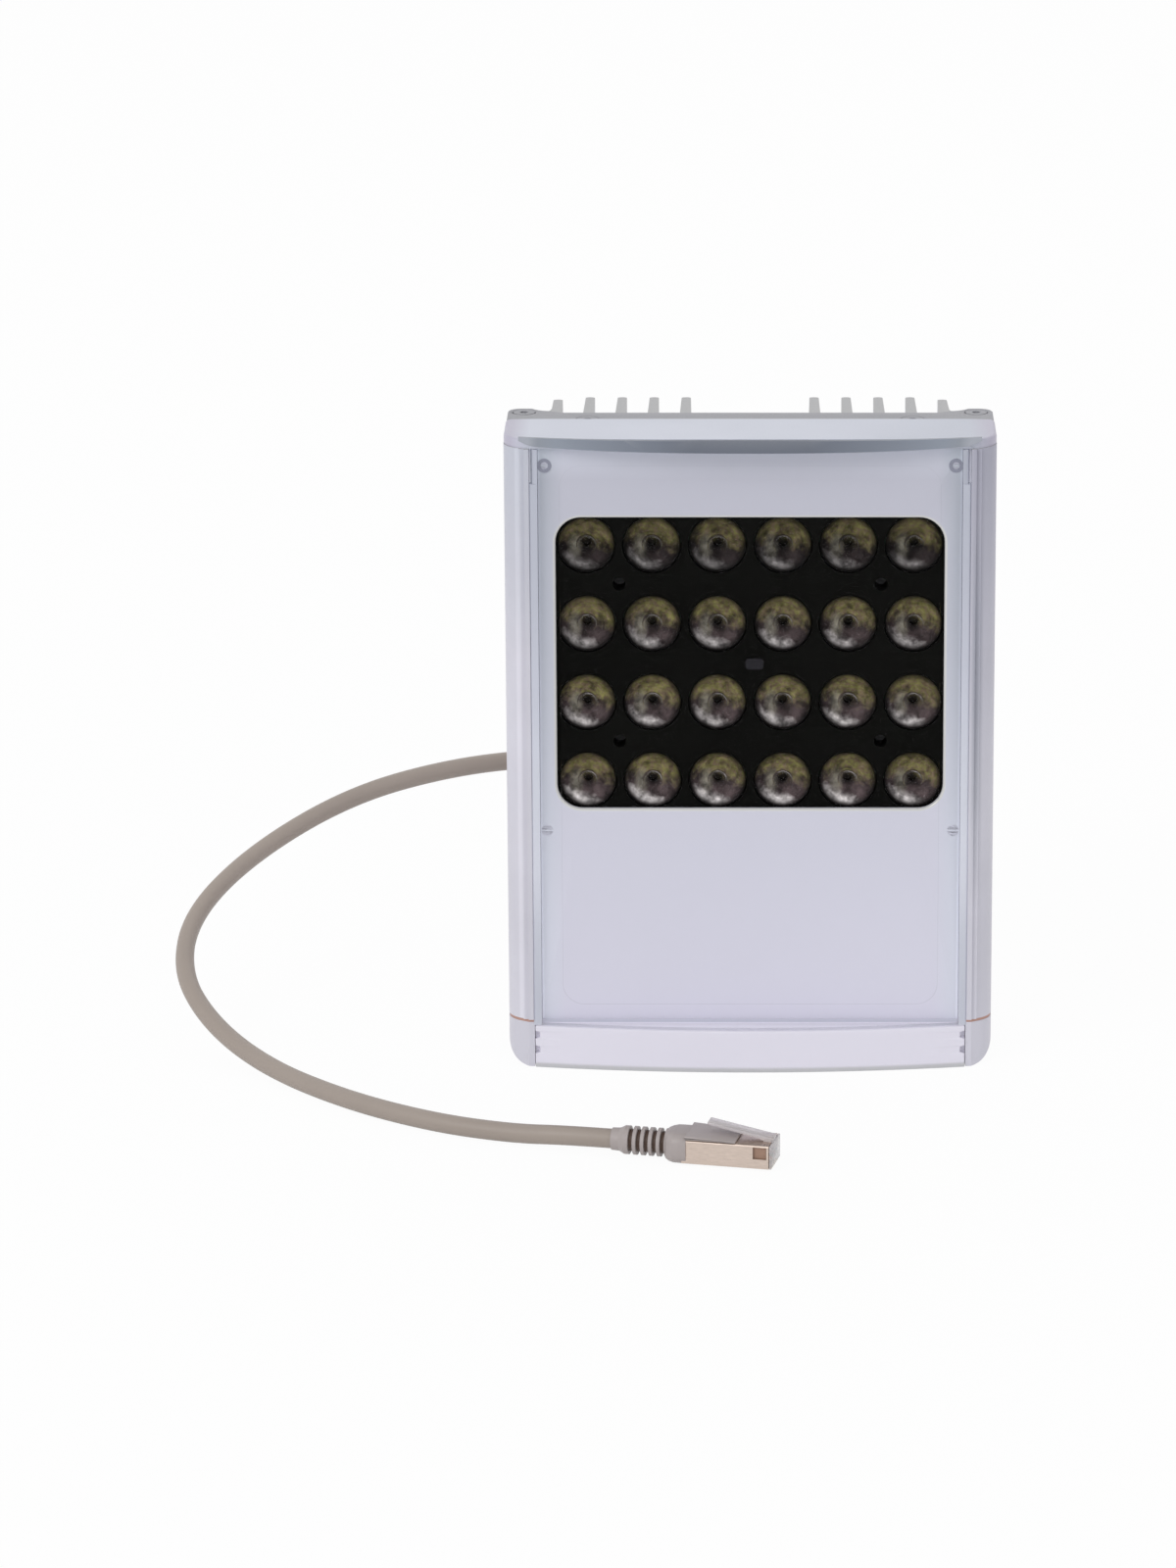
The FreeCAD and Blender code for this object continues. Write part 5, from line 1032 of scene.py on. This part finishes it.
def addCap():
    setup = capSetup
    bm = bmesh.new()
    face = drawn(bm, mirroredOutline(setup["plateau"]), setup["under"], 10.0)
    raised(bm, [face], (0.0, 0.0, setup["top"] - setup["under"]))
    cleaned(bm)
    weight = bm.edges.layers.float.new("bevel_weight_edge")
    for edge in bm.edges:
        if all(vert.co.z > setup["top"] - 0.01 for vert in edge.verts):
            middle = (edge.verts[0].co + edge.verts[1].co) / 2
            away = min(1.0, max(0.0, (abs(middle.x) - setup["shoulderFrom"]) / setup["shoulderOver"]))
            edge[weight] = setup["frontSoft"] + (1.0 - setup["frontSoft"]) * away
    piece = finishPiece(bm, "capPlateau", "housing", finishes["capPaint"],
                        ["top_cap"], 50.0)
    soft = piece.modifiers.new("shoulder", "BEVEL")
    soft.width = setup["shoulder"] * mm
    soft.segments = 4
    soft.limit_method = "WEIGHT"

    bm = bmesh.new()
    face = drawn(bm, mirroredOutline(setup["ledge"]), setup["under"], 10.0)
    outer = list(face.edges)
    bmesh.ops.delete(bm, geom=[face], context="FACES_ONLY")
    holes = []
    for x, y in setup["seats"]:
        for side in (-1, 1):
            made = bmesh.ops.create_circle(bm, cap_ends=False, segments=24, radius=setup["seatRadius"],
                                           matrix=Matrix.Translation((side * x, y, setup["under"])))
            holes += list({edge for vert in made["verts"] for edge in vert.link_edges})
    filled = bmesh.ops.triangle_fill(bm, edges=outer + holes, use_beauty=True, use_dissolve=False)
    raised(bm, [part for part in filled["geom"] if isinstance(part, bmesh.types.BMFace)],
           (0.0, 0.0, setup["ledgeTop"] - setup["under"]))
    cleaned(bm)
    softEdges(bm, [edge for edge in sharpEdges(bm, 1.0)
                   if all(vert.co.z > setup["ledgeTop"] - 0.01 for vert in edge.verts)
                   and abs(edge.verts[0].co.y) > setup["ledgeSoftFrom"]], setup["ledgeSoft"], 3)
    finishPiece(bm, "capLedge", "housing", finishes["capEdge"], ["top_cap"])


addCap()
print("top cap made")

# dress the CAD nodes
nodeFinish = {
    "heat_sink": "extrusion", "top_cap": "capEdge", "bottom_cap": "casePaint",
    "access_cover": "coverWhite", "seam_seal": "seamRubber", "top_cap_seal": "sealRubber",
    "front_window": "window", "window_top_seal": "darkSeal", "window_seal": "paleSeal",
    "lens_insert": "sheet", "mask_plate": "maskGrey", "optic_tray": "trayBlack",
    "collimator_lenses": "sheet", "lamp_board": "boardGreen", "thermal_pad": "padGrey",
    "lamps": "tapeYellow", "light_sensor": "sensorBlack", "driver_board": "boardGreen",
    "board_spacers": "steel", "driver_board_screws": "steel", "transformer": "tapeYellow",
    "capacitors": "canMetal", "regulator": "partBlack", "choke": "tapeYellow",
    "terminal_block": "terminalGrey", "top_cap_screws": "capEdge", "bottom_cap_screws": "steel",
    "cover_screws": "steel", "mask_screws": "postGrey", "tray_screws": "partBlack",
    "pivot_block_screws": "steel", "gland_body": "glandNylon", "gland_nut": "glandNylon",
    "gland_seal": "sealRubber", "gland_locknut": "glandNylon", "inner_lead": "jacket",
    "cable_boot": "bootMoulding", "plug_shell": "plugShield", "plug_body": "plugClear",
    "plug_contacts": "gold", "pivot_block": "casePaint", "bracket": "casePaint",
    "pivot_bolt": "steel", "pivot_washers": "steel", "pivot_nut": "steel",
}
for node, finish in nodeFinish.items():
    dressNode(node, finishes[finish])


# floor and light
studioSetup = {
    "floorSize": 6.0, "floorWhite": 0.92, "floorSeen": 0.95,
    "worldColor": (0.985, 0.985, 1.0), "worldStrength": 0.70,
}


def seenRays(tree):
    # 1 for the rays that show the background: seen directly, in gloss or through glass
    light = added(tree, "LightPath")
    total = light.outputs["Is Camera Ray"]
    for ray in ("Is Glossy Ray", "Is Transmission Ray"):
        either = added(tree, "Math")
        either.operation = "MAXIMUM"
        tree.links.new(total, either.inputs[0])
        tree.links.new(light.outputs[ray], either.inputs[1])
        total = either.outputs[0]
    return total


def addFloor():
    bm = bmesh.new()
    bmesh.ops.create_grid(bm, x_segments=1, y_segments=1, size=studioSetup["floorSize"])
    mesh = bpy.data.meshes.new("floor")
    bm.to_mesh(mesh)
    bm.free()
    floor = bpy.data.objects.new("floor", mesh)
    scene.collection.objects.link(floor)
    material, tree, shader, out = newShader("floorWhite")
    shader.inputs["Base Color"].default_value = (*(studioSetup["floorWhite"],) * 3, 1.0)
    shader.inputs["Roughness"].default_value = 0.9
    glow = added(tree, "Emission")
    glow.inputs["Color"].default_value = (*white, 1.0)
    share = added(tree, "Math")
    share.operation = "MULTIPLY"
    share.inputs[1].default_value = studioSetup["floorSeen"]
    tree.links.new(seenRays(tree), share.inputs[0])
    mix = added(tree, "MixShader")
    tree.links.new(share.outputs[0], mix.inputs["Fac"])
    tree.links.new(shader.outputs["BSDF"], mix.inputs[1])
    tree.links.new(glow.outputs["Emission"], mix.inputs[2])
    tree.links.new(mix.outputs["Shader"], out.inputs["Surface"])
    mesh.materials.append(material)


def addWorld():
    world = bpy.data.worlds.new("studio")
    world.use_nodes = True
    tree = world.node_tree
    tree.nodes.clear()
    out = added(tree, "OutputWorld")
    lit = added(tree, "Background")
    lit.inputs["Color"].default_value = (*studioSetup["worldColor"], 1.0)
    lit.inputs["Strength"].default_value = studioSetup["worldStrength"]
    seen = added(tree, "Background")
    seen.inputs["Color"].default_value = (*white, 1.0)
    seen.inputs["Strength"].default_value = 1.0
    mix = added(tree, "MixShader")
    tree.links.new(seenRays(tree), mix.inputs["Fac"])
    tree.links.new(lit.outputs["Background"], mix.inputs[1])
    tree.links.new(seen.outputs["Background"], mix.inputs[2])
    tree.links.new(mix.outputs["Shader"], out.inputs["Surface"])
    scene.world = world


lampSetup = [
    # name, place, aimed at, size, watts
    ("key", (-1.5, -1.5, 1.4), (0.0, 0.0, 0.08), 1.0, 13.5),
    ("front", (0.1, -2.4, 0.25), (0.0, 0.0, 0.08), 1.4, 3.0),
    ("back", (0.2, 1.4, 1.4), (0.0, 0.0, 0.1), 1.2, 2.0),
]


def addLamps():
    for name, place, aim, wide, watts in lampSetup:
        data = bpy.data.lights.new(name, "AREA")
        data.shape = "DISK"
        data.size = wide
        data.energy = watts
        lamp = bpy.data.objects.new(name, data)
        lamp.location = place
        lamp.rotation_euler = (Vector(aim) - Vector(place)).to_track_quat("-Z", "Y").to_euler()
        scene.collection.objects.link(lamp)


addFloor()
addWorld()
addLamps()
scene.view_settings.view_transform = "Standard"
print("stage set")
